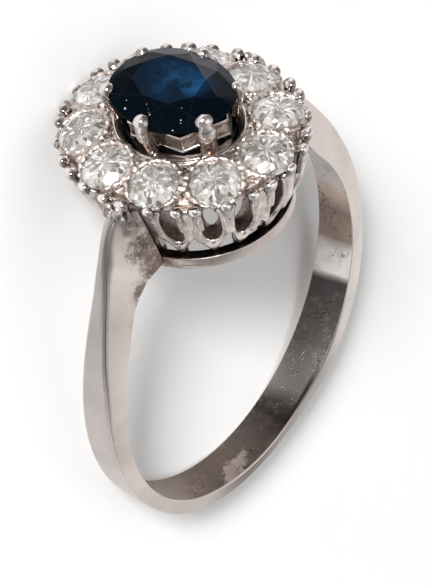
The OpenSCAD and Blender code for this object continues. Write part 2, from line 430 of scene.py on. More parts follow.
@dataclass(frozen=True)
class SatinGold:
    """White gold with a fine satin, dull in places, with pits and, where asked, hair scratches."""

    name: str
    light: Colour
    dull: Colour
    roughness: float = 0.3
    relief_mm: float = 0.012
    hairs: float = 0.0
    hair_shade: Colour = gold(0.22, 0.16)
    pit_shade: Colour = gold(0.05, 0.2)
    pit_strength: float = 0.72

    def marks(self, paint: Paint) -> Formula | None:
        """Adds what one place has of its own, and returns how pitted each place is, or None."""
        return None

    def make(self) -> Material:
        """Builds the finish.

        Returns:
            The material.
        """
        paint = Paint(self.name)
        cloud = paint.noise(0.35, detail=3.0, rough=0.55)
        fine = paint.noise(9.0, rough=0.6, stretch=(1.0, 0.3, 1.0))
        pit = paint.cells(1.1).rise(0.11, 0.05) * paint.noise(0.9).rise(0.6, 0.68)
        worn = (cloud.rise(0.3, 0.75) * 0.75 + fine * 0.25).clamp()
        paint.colour = paint.mix(worn, self.light, self.dull)
        if self.hairs:
            hair = paint.noise(2.4, detail=3.0, rough=0.6, stretch=(0.5, 1.6, 1.0))
            hair = hair.band(0.5, 0.008, 0.01) * paint.noise(0.8).rise(0.4, 0.6)
            paint.cover(hair * self.hairs, self.hair_shade)
        eaten = self.marks(paint)
        if eaten is not None:
            pit = pit.math("MAXIMUM", eaten)
        paint.cover(pit * self.pit_strength, self.pit_shade)
        paint.bump(fine.plus(0.35, pit * -1.0), self.relief_mm)
        return paint.finish(Metallic=1.0, Roughness=fine.plus(0.12, self.roughness - 0.06))


@dataclass(frozen=True)
class SideGold(SatinGold):
    """The band's sides: painted lines of reflected light and shade along their edges, painted shade in the
    recess by the left shoulder's tip, and brown solder stains at the shoulders.
    """

    stains: tuple[Spot, ...] = (
        Spot((0.85, -4.7, 9.6), 0.1, 0.9), Spot((0.85, -4.6, 8.5), 0.3, 1.1, 1.15),
        Spot((0.85, -4.1, 7.2), 0.5, 1.2, 1.3), Spot((0.85, -5.3, 6.6), 0.2, 1.1, 0.85),
        Spot((0.85, -6.2, 5.6), 0.0, 0.8, 0.6), Spot((0.85, -4.0, 8.6), 0.3, 0.8, 1.3),
        Spot((0.85, 4.7, 8.9), 0.2, 1.0),
    )
    # Painted shade in the recess by the left shoulder's tip, where the shoulder meets the coronet
    painted_shade: Spot = Spot((0.55, -4.7, 10.15), 0.1, 0.55, 0.9)
    # Painted light and shade along the edges: dark reflected stripes, bright chamfer highlights and darker
    # stretches of the side faces
    lines: tuple[EdgeLine, ...] = (
        EdgeLine((-168, -108), (0.246, 0.46), gold(0.14, 0.05), 0.85, 0.003, 0.06),
        EdgeLine((-138, -114), (0.19, 0.26), gold(0.85, 0.12), 0.6, 0.02, 0.05),
        EdgeLine((-28, 16), (0.17, 0.28), gold(0.42, 0.14), 0.7, fade=0.05),
        EdgeLine((-62, -30), (0.19, 0.28), gold(0.42, 0.14), 0.6, 0.02, 0.05),
        EdgeLine((2, 36), (0.19, 0.3), gold(0.2, 0.14), 0.85, 0.01, 0.03),
        EdgeLine((-26, 6), (0.19, 0.3), gold(0.025, 0.6), 0.92, 0.01, 0.04),
        EdgeLine((-24, 6), (0.1, 0.2065), gold(0.62, 0.24), 0.85, 0.002, 0.03),
        EdgeLine((14, 44), (0.0, 0.206), gold(0.08, 0.24), 0.85, 0.003, 0.03),
    )

    def marks(self, paint: Paint) -> Formula | None:
        """Adds the painted lines of light and shade along the edges, and, if it has them, the painted shade
        by the left shoulder's tip and the stains with their curls and specks.

        Args:
            paint: The material's builder.

        Returns:
            How pitted each place is, or None.
        """
        round_part, across = paint.round_and_across()
        for line in self.lines:
            start, end = (Band.share(turn) for turn in line.turns)
            mask = round_part.band((start + end) / 2, (end - start) / 2, line.fade)
            middle = sum(line.across) / 2
            mask = mask * across.band(middle, line.across[1] - middle, line.soft)
            paint.cover(mask * line.strength, line.colour)
        if not self.stains:
            return None
        # Painted shade in the recess by the left shoulder's tip
        painted_shade = paint.near(self.painted_shade) * paint.noise(5.0).rise(0.25, 0.5)
        paint.cover(painted_shade * self.painted_shade.strength, gold(0.05, 0.3))
        stain = paint.strongest(self.stains)
        here = stain.rise(0.05, 0.8)
        curls = paint.noise(4.2).band(0.5, 0.03, 0.035) * 0.75
        specks = paint.cells(3.0).rise(0.3, 0.14) * paint.noise(1.6).rise(0.46, 0.58)
        patch = (paint.noise(2.1, detail=4.0, rough=0.7) + stain * 0.14).rise(0.52, 0.72)
        brown = (patch * 0.66 + stain * 0.32).clamp() * here
        paint.cover(brown, gold(0.15, 0.34))
        return (curls * paint.noise(1.3).rise(0.42, 0.56) + specks * 0.85).clamp() * here


@dataclass(frozen=True)
class OuterGold(SideGold):
    """The band's outer face, with painted shade that greys its upper left and soft painted dark stripes by
    its edge.
    """

    stains: tuple[Spot, ...] = ()
    # Painted shade: the greyer upper left and the dark stripes by the edge
    lines: tuple[EdgeLine, ...] = (
        EdgeLine((-168, -122), (0.44, 0.51), gold(0.36, 0.02), 0.7, 0.01, 0.08),
        EdgeLine((-168, -144), (0.44, 0.478), gold(0.12, 0.04), 0.8, 0.006, 0.03),
        EdgeLine((-168, -134), (0.44, 0.465), gold(0.12, 0.04), 0.8, 0.005, 0.03),
        EdgeLine((-168, -108), (0.44, 0.456), gold(0.14, 0.04), 0.75, 0.003, 0.06),
    )


@dataclass(frozen=True)
class RailGold(SatinGold):
    """The rail: mottled, with a brown scratch, a brown end and painted shade on its top, under the coronet.
    """

    top_mm: float = 7.275
    scratch: Spot = Spot((2.1, -3.36, 6.95), 0.3, 0.6, 0.8)
    scratch_half_mm: float = 0.03
    brown_end: Spot = Spot((0.85, -3.85, 7.0), 0.3, 1.3, 0.8)

    def marks(self, paint: Paint) -> Formula | None:
        """Adds the scratch, the mottling, the brown end and the painted shade on the top.

        Args:
            paint: The material's builder.

        Returns:
            None, for no pits.
        """
        height = paint.head_height()
        line = height.band(self.scratch.middle[2], self.scratch_half_mm, self.scratch_half_mm)
        line = line * paint.near(self.scratch)
        paint.cover(line * self.scratch.strength, gold(0.12, 0.35))
        mottled = paint.noise(2.6, detail=4.0, rough=0.7).rise(0.5, 0.68, 0.3)
        paint.cover(mottled, gold(0.26, 0.36))
        blotch = paint.noise(2.5, detail=3.0, rough=0.6).rise(0.35, 0.6, self.brown_end.strength)
        paint.cover(paint.near(self.brown_end) * blotch, gold(0.2, 0.4))
        # Painted shade on the top, under the coronet, varied by noise
        painted_shade = paint.noise(4.0, detail=3.0, rough=0.6).rise(0.2, 0.8)
        top = height.rise(self.top_mm - 0.02, self.top_mm + 0.005)
        dark = paint.mix(painted_shade, gold(0.012, 0.3), gold(0.06, 0.25))
        paint.cover(top, dark)
        return None


@dataclass(frozen=True)
class CapGold(SatinGold):
    """The outer claws: bright caps with painted shade at their lower edges and painted dark reflections on
    their sides, over dull brown stems.
    """

    cap_mm: float = 10.86

    def marks(self, paint: Paint) -> Formula | None:
        """Paints shade at the caps' lower edges, browns the stems and paints dark reflections on what faces
        sideways.

        Args:
            paint: The material's builder.

        Returns:
            None, for no pits.
        """
        grain = paint.noise(5.0, detail=4.0, rough=0.7)
        height = paint.head_height() + (paint.noise(1.5) - 0.5) * 0.16
        # Painted shade at the caps' lower edges
        shade = paint.mix(grain.rise(0.35, 0.65), gold(0.08, 0.2), gold(0.3, 0.16))
        paint.cover(height.rise(self.cap_mm + 0.1, self.cap_mm - 0.06, 0.85), shade)
        stem = paint.mix(grain.rise(0.35, 0.65), gold(0.3, 0.22), gold(0.55, 0.16))
        paint.cover(height.rise(self.cap_mm - 0.1, self.cap_mm - 0.35), stem)
        # Painted dark reflections on what faces sideways
        sideways = paint.stored(SIDEWAYS).rise(0.45, 0.95, 0.75)
        paint.cover(sideways, gold(0.1, 0.18))
        return None


@dataclass(frozen=True)
class ClawGold(SatinGold):
    """The centre claws, bright at their heads, with painted shade at their necks and painted dark reflections
    on their sides, and brown and grainy below.
    """

    bright_above_mm: float = 12.6
    brown_below_mm: float = 12.0
    neck_mm: float = 12.84

    def marks(self, paint: Paint) -> Formula | None:
        """Adds the grainy brown of the stems, and paints shade at the necks and dark reflections on what
        faces sideways.

        Args:
            paint: The material's builder.

        Returns:
            How pitted the stems are.
        """
        height = paint.head_height()
        below = (height + (paint.noise(1.8) - 0.5) * 0.5).rise(self.bright_above_mm, self.brown_below_mm)
        grain = paint.noise(7.0, detail=4.0, rough=0.7)
        brown = paint.mix(grain.rise(0.35, 0.65), gold(0.24, 0.3), gold(0.62, 0.2))
        paint.cover(below, brown)
        # Painted dark reflections on what faces sideways
        sideways = paint.stored(SIDEWAYS).rise(0.5, 0.98, 0.7)
        paint.cover(sideways, gold(0.12, 0.2))
        # Painted shade in the crease at the neck
        neck = (height + (paint.noise(1.5) - 0.5) * 0.12).band(self.neck_mm, 0.04, 0.05)
        paint.cover(neck * 0.6, gold(0.14, 0.18))
        return grain.rise(0.62, 0.75, 0.6) * below


@dataclass(frozen=True)
class LedgeGold(SatinGold):
    """The ledge inside the well, bright at the front and painted black as shade elsewhere."""

    front: Spot = Spot((1.9, -1.6, 11.3), 1.2, 1.9)

    def marks(self, paint: Paint) -> Formula | None:
        """Paints shade over all but the front."""
        paint.colour = paint.mix(paint.near(self.front), gold(0.03, 0.15), paint.colour)
        return None


@dataclass(frozen=True)
class BoreGold:
    """The inside of the band, with painted reflections and shade that change in steps round the finger."""

    name: str
    roughness: float = 0.34
    relief_mm: float = 0.012
    # Painted reflections and shade by turn from the bottom: [degrees, level, warmth]
    painted_tones: tuple = (
        (-140, 0.5, 0.1), (-95, 0.3, 0.24), (-60, 0.2, 0.36), (-40, 0.15, 0.4), (-26, 0.1, 0.36),
        (-14, 0.12, 0.32), (-2, 0.1, 0.22), (4, 0.055, 0.26), (8, 0.03, 0.26), (12, 0.06, 0.16),
        (18, 0.24, 0.06), (34, 0.085, 0.1), (46, 0.085, 0.06), (55.5, 0.07, 0.03), (56.5, 0.95, 0.04),
        (64, 0.92, 0.04), (69, 0.3, 0.3), (80, 0.3, 0.3), (88, 0.7, 0.26), (94, 0.96, 0.04),
        (140, 0.96, 0.04),
    )
    # Turns from the bottom in degrees: the painted reflected patch, where the blotches end and are full,
    # and the middle and end of the painted groove shade
    reflected_patch_turn: float = -20.0
    blotch_turns: tuple[float, float] = (56.0, 46.0)
    groove_shade_turns: tuple[float, float] = (17.0, 26.0)

    def shade(self, paint: Paint) -> None:
        """Colours the face with painted reflections and shade, a slanted painted reflected patch, blotches
        and painted groove shade at the near edge.

        Args:
            paint: The material's builder.
        """
        round_part, across = paint.round_and_across()
        waver = (paint.noise(0.5) - 0.5) * 0.012
        stops = [(Band.share(turn), gold(level, warm)) for turn, level, warm in self.painted_tones]
        paint.colour = paint.ramp(round_part + waver, stops)
        ragged = paint.noise(2.4, detail=4.0, rough=0.7) - 0.5
        slant = (across - 1.0) * 0.9
        # Painted reflection: a light patch slanting across the near half
        reflected_patch = (round_part + slant + ragged * 0.05).band(Band.share(self.reflected_patch_turn), 0.015, 0.004)
        reflected_patch = reflected_patch * (across + ragged * 0.03).rise(0.972, 0.98)
        paint.cover(reflected_patch * 0.85, gold(0.42, 0.2))
        blotch = paint.noise(2.2, detail=5.0, rough=0.7).rise(0.48, 0.7, 0.32)
        blotch = blotch * round_part.rise(*[Band.share(turn) for turn in self.blotch_turns])
        paint.cover(blotch, gold(0.24, 0.24))
        # Painted shade: a dark line along the near edge, like a groove's
        middle, end = [Band.share(turn) for turn in self.groove_shade_turns]
        groove_shade = (across + ragged * 0.001).band(0.998, 0.0028, 0.001)
        groove_shade = groove_shade * round_part.band(middle, end - middle, 0.02)
        paint.cover(groove_shade * 0.85, gold(0.015, 0.4))

    def make(self) -> Material:
        """Builds the finish.

        Returns:
            The material.
        """
        paint = Paint(self.name)
        self.shade(paint)
        cloud = paint.noise(1.0, detail=3.0, rough=0.6)
        speck = paint.cells(1.6).rise(0.12, 0.05) * paint.noise(1.2).rise(0.56, 0.64)
        lines = paint.noise(2.2, stretch=(2.0, 1.0, 1.0)).band(0.5, 0.012, 0.012)
        mark = (speck + lines * paint.noise(0.8).rise(0.48, 0.62)).clamp()
        paint.cover(cloud.rise(0.35, 0.8, 0.25), gold(0.1, 0.16))
        paint.cover(mark * 0.75, gold(0.03, 0.2))
        paint.bump(cloud.plus(0.3, mark * -1.0), self.relief_mm)
        return paint.finish(Metallic=1.0, Roughness=cloud.plus(0.14, self.roughness - 0.07))


@dataclass(frozen=True)
class ArchGold:
    """The coronet: light outside, brown and dull with painted shade inside its openings, and with patches of
    painted shade by the left shoulder.
    """

    name: str
    roughness: float = 0.24
    relief_mm: float = 0.02
    # Patches of painted shade by the left shoulder, standing in for openings in shade
    painted_shade: tuple[Spot, ...] = (
        Spot((0.95, -4.35, 9.5), 0.45, 1.1, 0.8), Spot((0.9, -4.65, 10.35), 0.12, 0.5),
    )

    def make(self) -> Material:
        """Builds the finish.

        Returns:
            The material.
        """
        paint = Paint(self.name)
        depth = paint.stored(Coronet.DEPTH)
        cloud = paint.noise(1.3, detail=3.0, rough=0.55)
        fine = paint.noise(7.0, rough=0.6)
        speck = paint.cells(3.0).rise(0.22, 0.09) * paint.noise(1.4).rise(0.48, 0.58)
        worn = (cloud.rise(0.35, 0.68) * 0.8 + fine * 0.2).clamp()
        paint.colour = paint.mix(worn, gold(0.72, 0.1), gold(0.34, 0.14))
        # Painted shade inside the openings, darker deeper in the wall
        inside = (depth + (cloud - 0.5) * 0.2).rise(-0.2, -0.5)
        deep = paint.mix(fine.rise(0.35, 0.7), gold(0.48, 0.18), gold(0.2, 0.22))
        paint.cover(inside, deep)
        # Painted shade by the left shoulder
        for spot in self.painted_shade:
            opening_shade = paint.near(spot) * fine.rise(0.2, 0.6)
            paint.cover(opening_shade * spot.strength, gold(0.09, 0.3))
        paint.cover(speck * 0.7, gold(0.05, 0.2))
        paint.bump(fine.plus(0.4, speck * -1.0), self.relief_mm)
        rough = inside * 0.2 + fine * 0.1 + (self.roughness - 0.05)
        return paint.finish(Metallic=1.0, Roughness=rough)


@dataclass(frozen=True)
class CastGold:
    """The rosier, grainy metal between the stones and inside the coronet."""

    name: str
    light: Colour
    dark: Colour
    roughness: float = 0.28
    grain: float = 5.0
    relief_mm: float = 0.05

    def make(self) -> Material:
        """Builds the finish.

        Returns:
            The material.
        """
        paint = Paint(self.name)
        grain = paint.noise(self.grain, detail=4.0, rough=0.65)
        patch = paint.noise(1.1)
        mask = (grain.rise(0.35, 0.68) * 0.7 + patch.rise(0.3, 0.7) * 0.3).clamp()
        paint.colour = paint.mix(mask, self.dark, self.light)
        paint.bump(grain, self.relief_mm)
        return paint.finish(Metallic=1.0, Roughness=grain.plus(0.2, self.roughness - 0.08))


@dataclass(frozen=True)
class Gem:
    """A cut stone: its body colour, the colour of its painted patches, dim in the diamonds and bright blue in
    the sapphire, and how clear and glossy it is.
    """

    name: str
    tint: Colour
    deep: Colour
    ior: float
    clear: float = 1.0
    roughness: float = 0.0
    gloss: float = 0.5

    def finish(self, paint: Paint) -> Material:
        """Returns the material with the stone's clearness and gloss."""
        return paint.finish(
            Roughness=self.roughness, IOR=self.ior, Transmission_Weight=self.clear,
            Specular_IOR_Level=self.gloss,
        )


@dataclass(frozen=True)
class ClearGem(Gem):
    """The diamonds: clear but milky, with painted reflections: many small dim patches like old brilliants',
    dark lines and flashes, and small dark flecks.
    """

    # Colours of the painted dark reflected lines, of small dark flecks and of the painted flashes
    reflected_line: Colour = (0.16, 0.14, 0.12, 1.0)
    dark: Colour = (0.09, 0.078, 0.066, 1.0)
    flash: Colour = (1.0, 1.0, 0.99, 1.0)
    # Painted reflection patches: [how many in a radian, how many out from the middle, shift from stone to
    # stone]
    broad: Triple = (2.55, 3.0, 3.7)
    small: Triple = (5.7, 6.0, 5.3)

    def make(self) -> Material:
        """Builds the finish.

        Returns:
            The material.
        """
        paint = Paint(self.name)
        x, y = paint.round_and_across()
        away = (x * x + y * y).math("SQRT")
        polar = (y.math("ARCTAN2", x), away, paint.stored(Cut.NUMBER))
        broad, _ = paint.wedges(polar, self.broad)
        small, streak = paint.wedges(polar, self.small)
        # Painted reflections: light and dim patches, and a painted shade for each facet
        light = (broad * 0.4 + small * 0.45 + paint.stored(Cut.SHADE) * 0.25).rise(0.22, 0.85)
        paint.colour = paint.mix(light, self.deep, self.tint)
        # Painted dark reflected lines, small dark flecks and painted flashes
        paint.cover(streak.band(0.5, 0.014, 0.02) * 0.6, self.reflected_line)
        paint.cover(small.rise(0.1, 0.06) * 0.7, self.dark)
        paint.cover(small.rise(0.86, 0.9), self.flash)
        return self.finish(paint)


@dataclass(frozen=True)
class BlueGem(Gem):
    """The sapphire: nearly black, with angular bright blue patches of painted light under its table, a
    lighter painted table, painted glints and a painted sheen on its back crown facets.
    """

    # Painted light: bright blue patches under the table
    glows: tuple[Spot, ...] = (
        Spot((1.15, 0.3, 13.4), 0.35, 1.05), Spot((0.4, 0.2, 13.4), 0.3, 1.1, 0.75),
        Spot((-0.5, 0.45, 13.4), 0.1, 0.9, 0.5), Spot((0.1, -0.6, 13.4), 0.1, 0.9, 0.35),
    )
    # Painted light: the table is lighter than the crown's facets
    table_shade: Colour = (0.0035, 0.009, 0.019, 1.0)
    sheen: Colour = (0.135, 0.128, 0.142, 1.0)
    glint: Colour = (0.5, 0.57, 0.63, 1.0)
    # Small painted glints: [place along, place across, reach], as shares of the stone's half sizes
    glints: tuple[Triple, ...] = (
        (-0.29, -0.75, 0.01), (-0.24, -0.87, 0.022), (0.07, -0.67, 0.008), (0.14, -0.72, 0.006),
        (0.21, -0.79, 0.012), (0.18, -0.77, 0.006), (0.62, -0.77, 0.014), (0.55, -0.39, 0.008),
        (0.64, -0.56, 0.014), (0.66, -0.6, 0.01),
    )

    def make(self) -> Material:
        """Builds the finish.

        Returns:
            The material.
        """
        paint = Paint(self.name)
        # Painted light: the blue patches, strongest under the table
        light = paint.strongest(self.glows)
        table = paint.stored(Cut.TABLE)
        shards = paint.shards(1.0) * 0.6 + paint.shards(2.2) * 0.45
        light = light * (table * 0.7 + 0.3) * shards.rise(0.0, 0.8)
        base = paint.mix(table, self.tint, self.table_shade)
        paint.colour = paint.mix(light.clamp(), base, self.deep)
        x, y = paint.round_and_across()
        for place_x, place_y, reach in self.glints:
            away = ((x - place_x).math("POWER", 2.0) + (y - place_y).math("POWER", 2.0)).math("SQRT")
            paint.cover(away.rise(reach, reach * 0.4, 0.8), self.glint)
        # Painted sheen on the back crown facets
        paint.cover(paint.stored(Cut.SHADE), self.sheen)
        return self.finish(paint)


class Finishes:
    """Every finish of the ring, made once."""

    def __init__(self) -> None:
        """Makes the materials."""
        light = gold(0.8, 0.06)
        dull = gold(0.6, 0.09)
        self.side = SideGold("side_gold", gold(0.68), gold(0.49), hairs=0.3).make()
        # The outer face's gold is darker than the sides' as painted shade for what it reflects
        self.outer = OuterGold("outer_gold", gold(0.54, 0.1), gold(0.38, 0.1), 0.36, hairs=0.4).make()
        self.bore = BoreGold("bore_gold").make()
        self.coronet = ArchGold("coronet_gold").make()
        self.bright = SatinGold("bright_gold", light, dull, 0.16).make()
        self.rail = RailGold("rail_gold", gold(0.6), gold(0.4, 0.16)).make()
        self.cast = CastGold("cast_gold", gold(0.78, 0.14), gold(0.26, 0.2)).make()
        self.cap = CapGold("cap_gold", gold(0.85, 0.06), dull, 0.16).make()
        self.claw = ClawGold("claw_gold", light, dull, 0.16).make()
        self.basket = CastGold("basket_gold", gold(0.4, 0.2), gold(0.1, 0.3), 0.3, grain=6.0).make()
        # Painted shade: the well's wall is dark gold, as the well lies in shade
        self.well = CastGold("well_shade_gold", gold(0.15, 0.08), gold(0.05, 0.12), 0.3, grain=3.0).make()
        # Painted shade: near black for the pins and the basket's foot, which lie in shade
        self.dark = CastGold("shade_dark_gold", gold(0.07), gold(0.02, 0.2), 0.4).make()
        milky = (0.86, 0.825, 0.785, 1.0)
        dim = (0.26, 0.24, 0.215, 1.0)
        self.diamond = ClearGem("clear_stone", milky, dim, ior=1.9, clear=0.5, roughness=0.06).make()
        navy = (0.0013, 0.0027, 0.0048, 1.0)
        edge = (0.005, 0.009, 0.014, 1.0)
        blue = (0.0105, 0.05, 0.12, 1.0)
        self.sapphire = BlueGem("blue_stone", navy, blue, 1.77, 0.0, roughness=0.03, gloss=0.003).make()
        self.facet_edge = BlueGem("blue_facet_edge", edge, blue, 1.77, 0.0, roughness=0.15, gloss=0.02).make()
        self.ledge = LedgeGold("ledge_gold", light, dull, 0.16).make()
        self.solder = CastGold(
            "solder_gold", gold(0.66, 0.1), gold(0.06, 0.2), 0.34, grain=4.0, relief_mm=0.08
        ).make()


def new_object(name: str, data: ID) -> Object:
    """Puts a mesh, a light or a camera into the scene.

    Args:
        name: The object's name.
        data: What it shows.

    Returns:
        The new object.
    """
    obj = bpy.data.objects.new(name, data)
    bpy.context.scene.collection.objects.link(obj)
    return obj


def mesh_of(name: str, points: np.ndarray, faces: list) -> Mesh:
    """Makes a mesh.

    Args:
        name: The mesh's name.
        points: Its points.
        faces: Its faces, each a row of point numbers.

    Returns:
        The mesh.
    """
    mesh = bpy.data.meshes.new(name)
    mesh.from_pydata(np.asarray(points, float).tolist(), [], [list(map(int, f)) for f in faces])
    mesh.update()
    return mesh


def face_outwards(mesh: Mesh) -> None:
    """Turns every face of a closed mesh outwards.

    Args:
        mesh: The mesh.
    """
    work = bmesh.new()
    work.from_mesh(mesh)
    bmesh.ops.recalc_face_normals(work, faces=work.faces)
    work.to_mesh(mesh)
    work.free()


def dress(
    mesh: Mesh, name: str, *materials: Material, sharp: float = 40.0,
    slot: Slot = Slot.WHITE_GOLD, replaced: str = MOUNT_NODE,
) -> None:
    """Puts a finished mesh, given in ring millimetres, into the scene as a piece.

    Args:
        mesh: The mesh in ring millimetres.
        name: The piece's name.
        materials: The materials of its slots, or none where the mesh has its own.
        sharp: Angle in degrees past which an edge is sharp.
        slot: The record's material slot; not used.
        replaced: The CAD node that the piece stands for.
    """
    mesh.transform(RING.matrix())
    for material in materials:
        mesh.materials.append(material)
    mesh.shade_smooth()
    mesh.set_sharp_from_angle(angle=math.radians(sharp))
    piece = new_object(name, mesh)
    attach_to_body(piece, BODY)
    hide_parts(replaced)
    LOG.info("%s: %d faces", name, len(mesh.polygons))


class Recipe:
    """A Geometry Nodes tree with named inputs, run once to give a plain mesh."""

    def __init__(self, name: str, material: Material) -> None:
        """Starts the tree with a geometry input and output.

        Args:
            name: Name of the tree and of its result.
            material: Material that the result takes.
        """
        self.name = name
        self.tree = bpy.data.node_groups.new(name, "GeometryNodeTree")
        for side in ("INPUT", "OUTPUT"):
            self.tree.interface.new_socket(
                name="Geometry", in_out=side, socket_type="NodeSocketGeometry"
            )
        self.values = {}
        self.entry = self.tree.nodes.new("NodeGroupInput")
        self.material = self.named("Material", "NodeSocketMaterial", material)

    def named(self, name: str, kind: str, value: object) -> NodeSocket:
        """Adds a named input and keeps its value.

        Args:
            name: The input's name.
            kind: The socket type.
            value: The value that it takes.

        Returns:
            The socket that gives the value inside the tree.
        """
        item = self.tree.interface.new_socket(name=name, in_out="INPUT", socket_type=kind)
        self.values[item.identifier] = value
        return next(s for s in self.entry.outputs if s.identifier == item.identifier)

    def size(self, name: str, value: float) -> Formula:
        """Adds a named size."""
        return Formula(self.named(name, "NodeSocketFloat", float(value)))

    def count(self, name: str, value: int) -> Formula:
        """Adds a named whole number."""
        return Formula(self.named(name, "NodeSocketInt", int(value)))

    def oval(self, name: str, oval: "Oval") -> tuple[Formula, Formula]:
        """Adds an oval's semi-axes, along the finger and across it."""
        return self.size(f"{name} along", oval.along), self.size(f"{name} across", oval.across)

    def add(self, kind: str, feeds: dict, **settings: object) -> Node:
        """Adds a node to the tree, its kind given without the first two words."""
        return add_node(self.tree, "GeometryNode" + kind, feeds, **settings)

    def index(self) -> Formula:
        """Returns the number of the point or instance."""
        return Formula(self.add("InputIndex", {}).outputs[0])

    def chance(self, seed: Formula) -> Formula:
        """Returns a random number from -1 to 1 for each point."""
        feeds = {2: -1.0, 3: 1.0, "Seed": seed}
        return Formula(add_node(self.tree, "FunctionNodeRandomValue", feeds, data_type="FLOAT").outputs[1])

    def vector(self, x: object, y: object, z: object) -> NodeSocket:
        """Joins three numbers into a vector."""
        return add_node(self.tree, "ShaderNodeCombineXYZ", {0: x, 1: y, 2: z}).outputs[0]

    def position(self) -> tuple[Formula, ...]:
        """Returns the three coordinates of each point."""
        return separated(self.add("InputPosition", {}).outputs[0])

    def even_angle(self, turn: Formula, along: Formula, across: Formula) -> Formula:
        """Turns an even turn into an angle that keeps equal steps along an oval's edge.

        Args:
            turn: The even turn in degrees.
            along: The oval's semi-axis along the finger.
            across: The oval's semi-axis across it.

        Returns:
            The angle in radians.
        """
        uneven = (along - across) / (along + across)
        turn_rad = turn * math.radians(1.0)
        return (turn_rad * 2.0).math("SINE").plus(uneven * 0.5, turn_rad)

    def finish(self, geometry: NodeSocket, base: Mesh) -> Mesh:
        """Ends the tree and runs it.

        Args:
            geometry: What the tree has made.
            base: The mesh that the tree starts from.

        Returns:
            A plain mesh, in the units of the tree.
        """
        real = self.add("RealizeInstances", {0: geometry})
        painted = self.add("SetMaterial", {0: real.outputs[0], 2: self.material})
        exit_node = self.tree.nodes.new("NodeGroupOutput")
        self.tree.links.new(painted.outputs[0], exit_node.inputs[0])
        holder = new_object(self.name + "_holder", base)
        modifier = holder.modifiers.new(self.name, "NODES")
        modifier.node_group = self.tree
        for identifier, value in self.values.items():
            modifier[identifier] = value
        graph = bpy.context.evaluated_depsgraph_get()
        mesh = bpy.data.meshes.new_from_object(holder.evaluated_get(graph), depsgraph=graph)
        mesh.name = self.name
        holder.modifiers.clear()
        bpy.data.objects.remove(holder)
        return mesh


@dataclass(frozen=True)
class Oval:
    """An oval round the head: semi-axes along and across the finger."""

    along: float
    across: float

    def grown(self, by: float) -> Self:
        """Returns the oval made larger all round."""
        return Oval(self.along + by, self.across + by)

    def angle(self, turn: float) -> float:
        """Returns the angle in radians for an even turn in degrees."""
        uneven = (self.along - self.across) / (self.along + self.across)
        return math.radians(turn) + uneven / 2 * math.sin(2 * math.radians(turn))

    def outward(self, turn: float) -> float:
        """Returns the direction in radians that points straight out at an even turn."""
        angle = self.angle(turn)
        return math.atan2(math.sin(angle) / self.across, math.cos(angle) / self.along)

    def spot(self, turn: float) -> tuple[float, float]:
        """Returns the point on the oval at an even turn in degrees."""
        angle = self.angle(turn)
        return self.along * math.cos(angle), self.across * math.sin(angle)

    def outside(self, u: np.ndarray, v: np.ndarray) -> np.ndarray:
        """Measures how far points lie outside the oval.

        Args:
            u: The points' places along the finger.
            v: Their places across it.

        Returns:
            The distances, less than 0 inside.
        """
        reach = np.sqrt((u / self.along) ** 2 + (v / self.across) ** 2) + 1e-9
        slope = np.sqrt((u / self.along**2) ** 2 + (v / self.across**2) ** 2) / reach + 1e-9
        return (reach - 1) / slope


def row_on_oval(
    name: str, shape: Mesh, oval: Oval, groups: int, members: int, step: float,
    material: Material, phase: float = 0.0, vary: float = 0.0, stray: float = 6.0,
) -> Mesh:
    """Repeats a small shape round an oval, in groups, with its X axis outwards.

    Args:
        name: Name of the tree.
        shape: The small shape, in head coordinates round its own foot.
        oval: The oval that the feet stand on.
        groups: Number of groups round the oval.
        members: Number of shapes in a group.
        step: Angle between the shapes of a group, in degrees.
        material: The finish.
        phase: Turn of the first group's middle, in degrees.
        vary: How much the shapes' widths and places differ, as a share.
        stray: Degrees that a shape's place may be off for a full share.

    Returns:
        All shapes as one mesh.
    """
    recipe = Recipe(name, material)
    total = recipe.count("Groups", groups)
    each = recipe.count("Shapes in a group", members)
    gap = recipe.size("Step in a group", step)
    start = recipe.size("First turn", phase)
    along, across = recipe.oval("Oval", oval)
    points = recipe.add("Points", {"Count": total * each})
    group = (recipe.index() / each).math("FLOOR")
    member = recipe.index() - group * each - (each - 1.0) * 0.5
    uneven = recipe.size("Unevenness", vary)
    seed = recipe.count("Seed", 11)
    turn = start + group * 360.0 / total + member * gap + recipe.chance(seed) * uneven * stray
    angle = recipe.even_angle(turn, along, across)
    cosine = angle.math("COSINE")
    sine = angle.math("SINE")
    facing = (sine / across).math("ARCTAN2", cosine / along)
    spot = recipe.vector(cosine * along, sine * across, 0.0)
    placed = recipe.add("SetPosition", {0: points.outputs[0], "Position": spot})
    angles = recipe.vector(0.0, 0.0, facing)
    turned = add_node(recipe.tree, "FunctionNodeEulerToRotation", {0: angles})
    width = recipe.chance(seed + 1.0) * uneven + 1.0
    copies = recipe.add(
        "InstanceOnPoints",
        {"Points": placed.outputs[0], "Instance": recipe.entry.outputs["Geometry"],
         "Rotation": turned.outputs[0], "Scale": recipe.vector(1.0, width, 1.0)},
    )
    return recipe.finish(copies.outputs[0], shape)


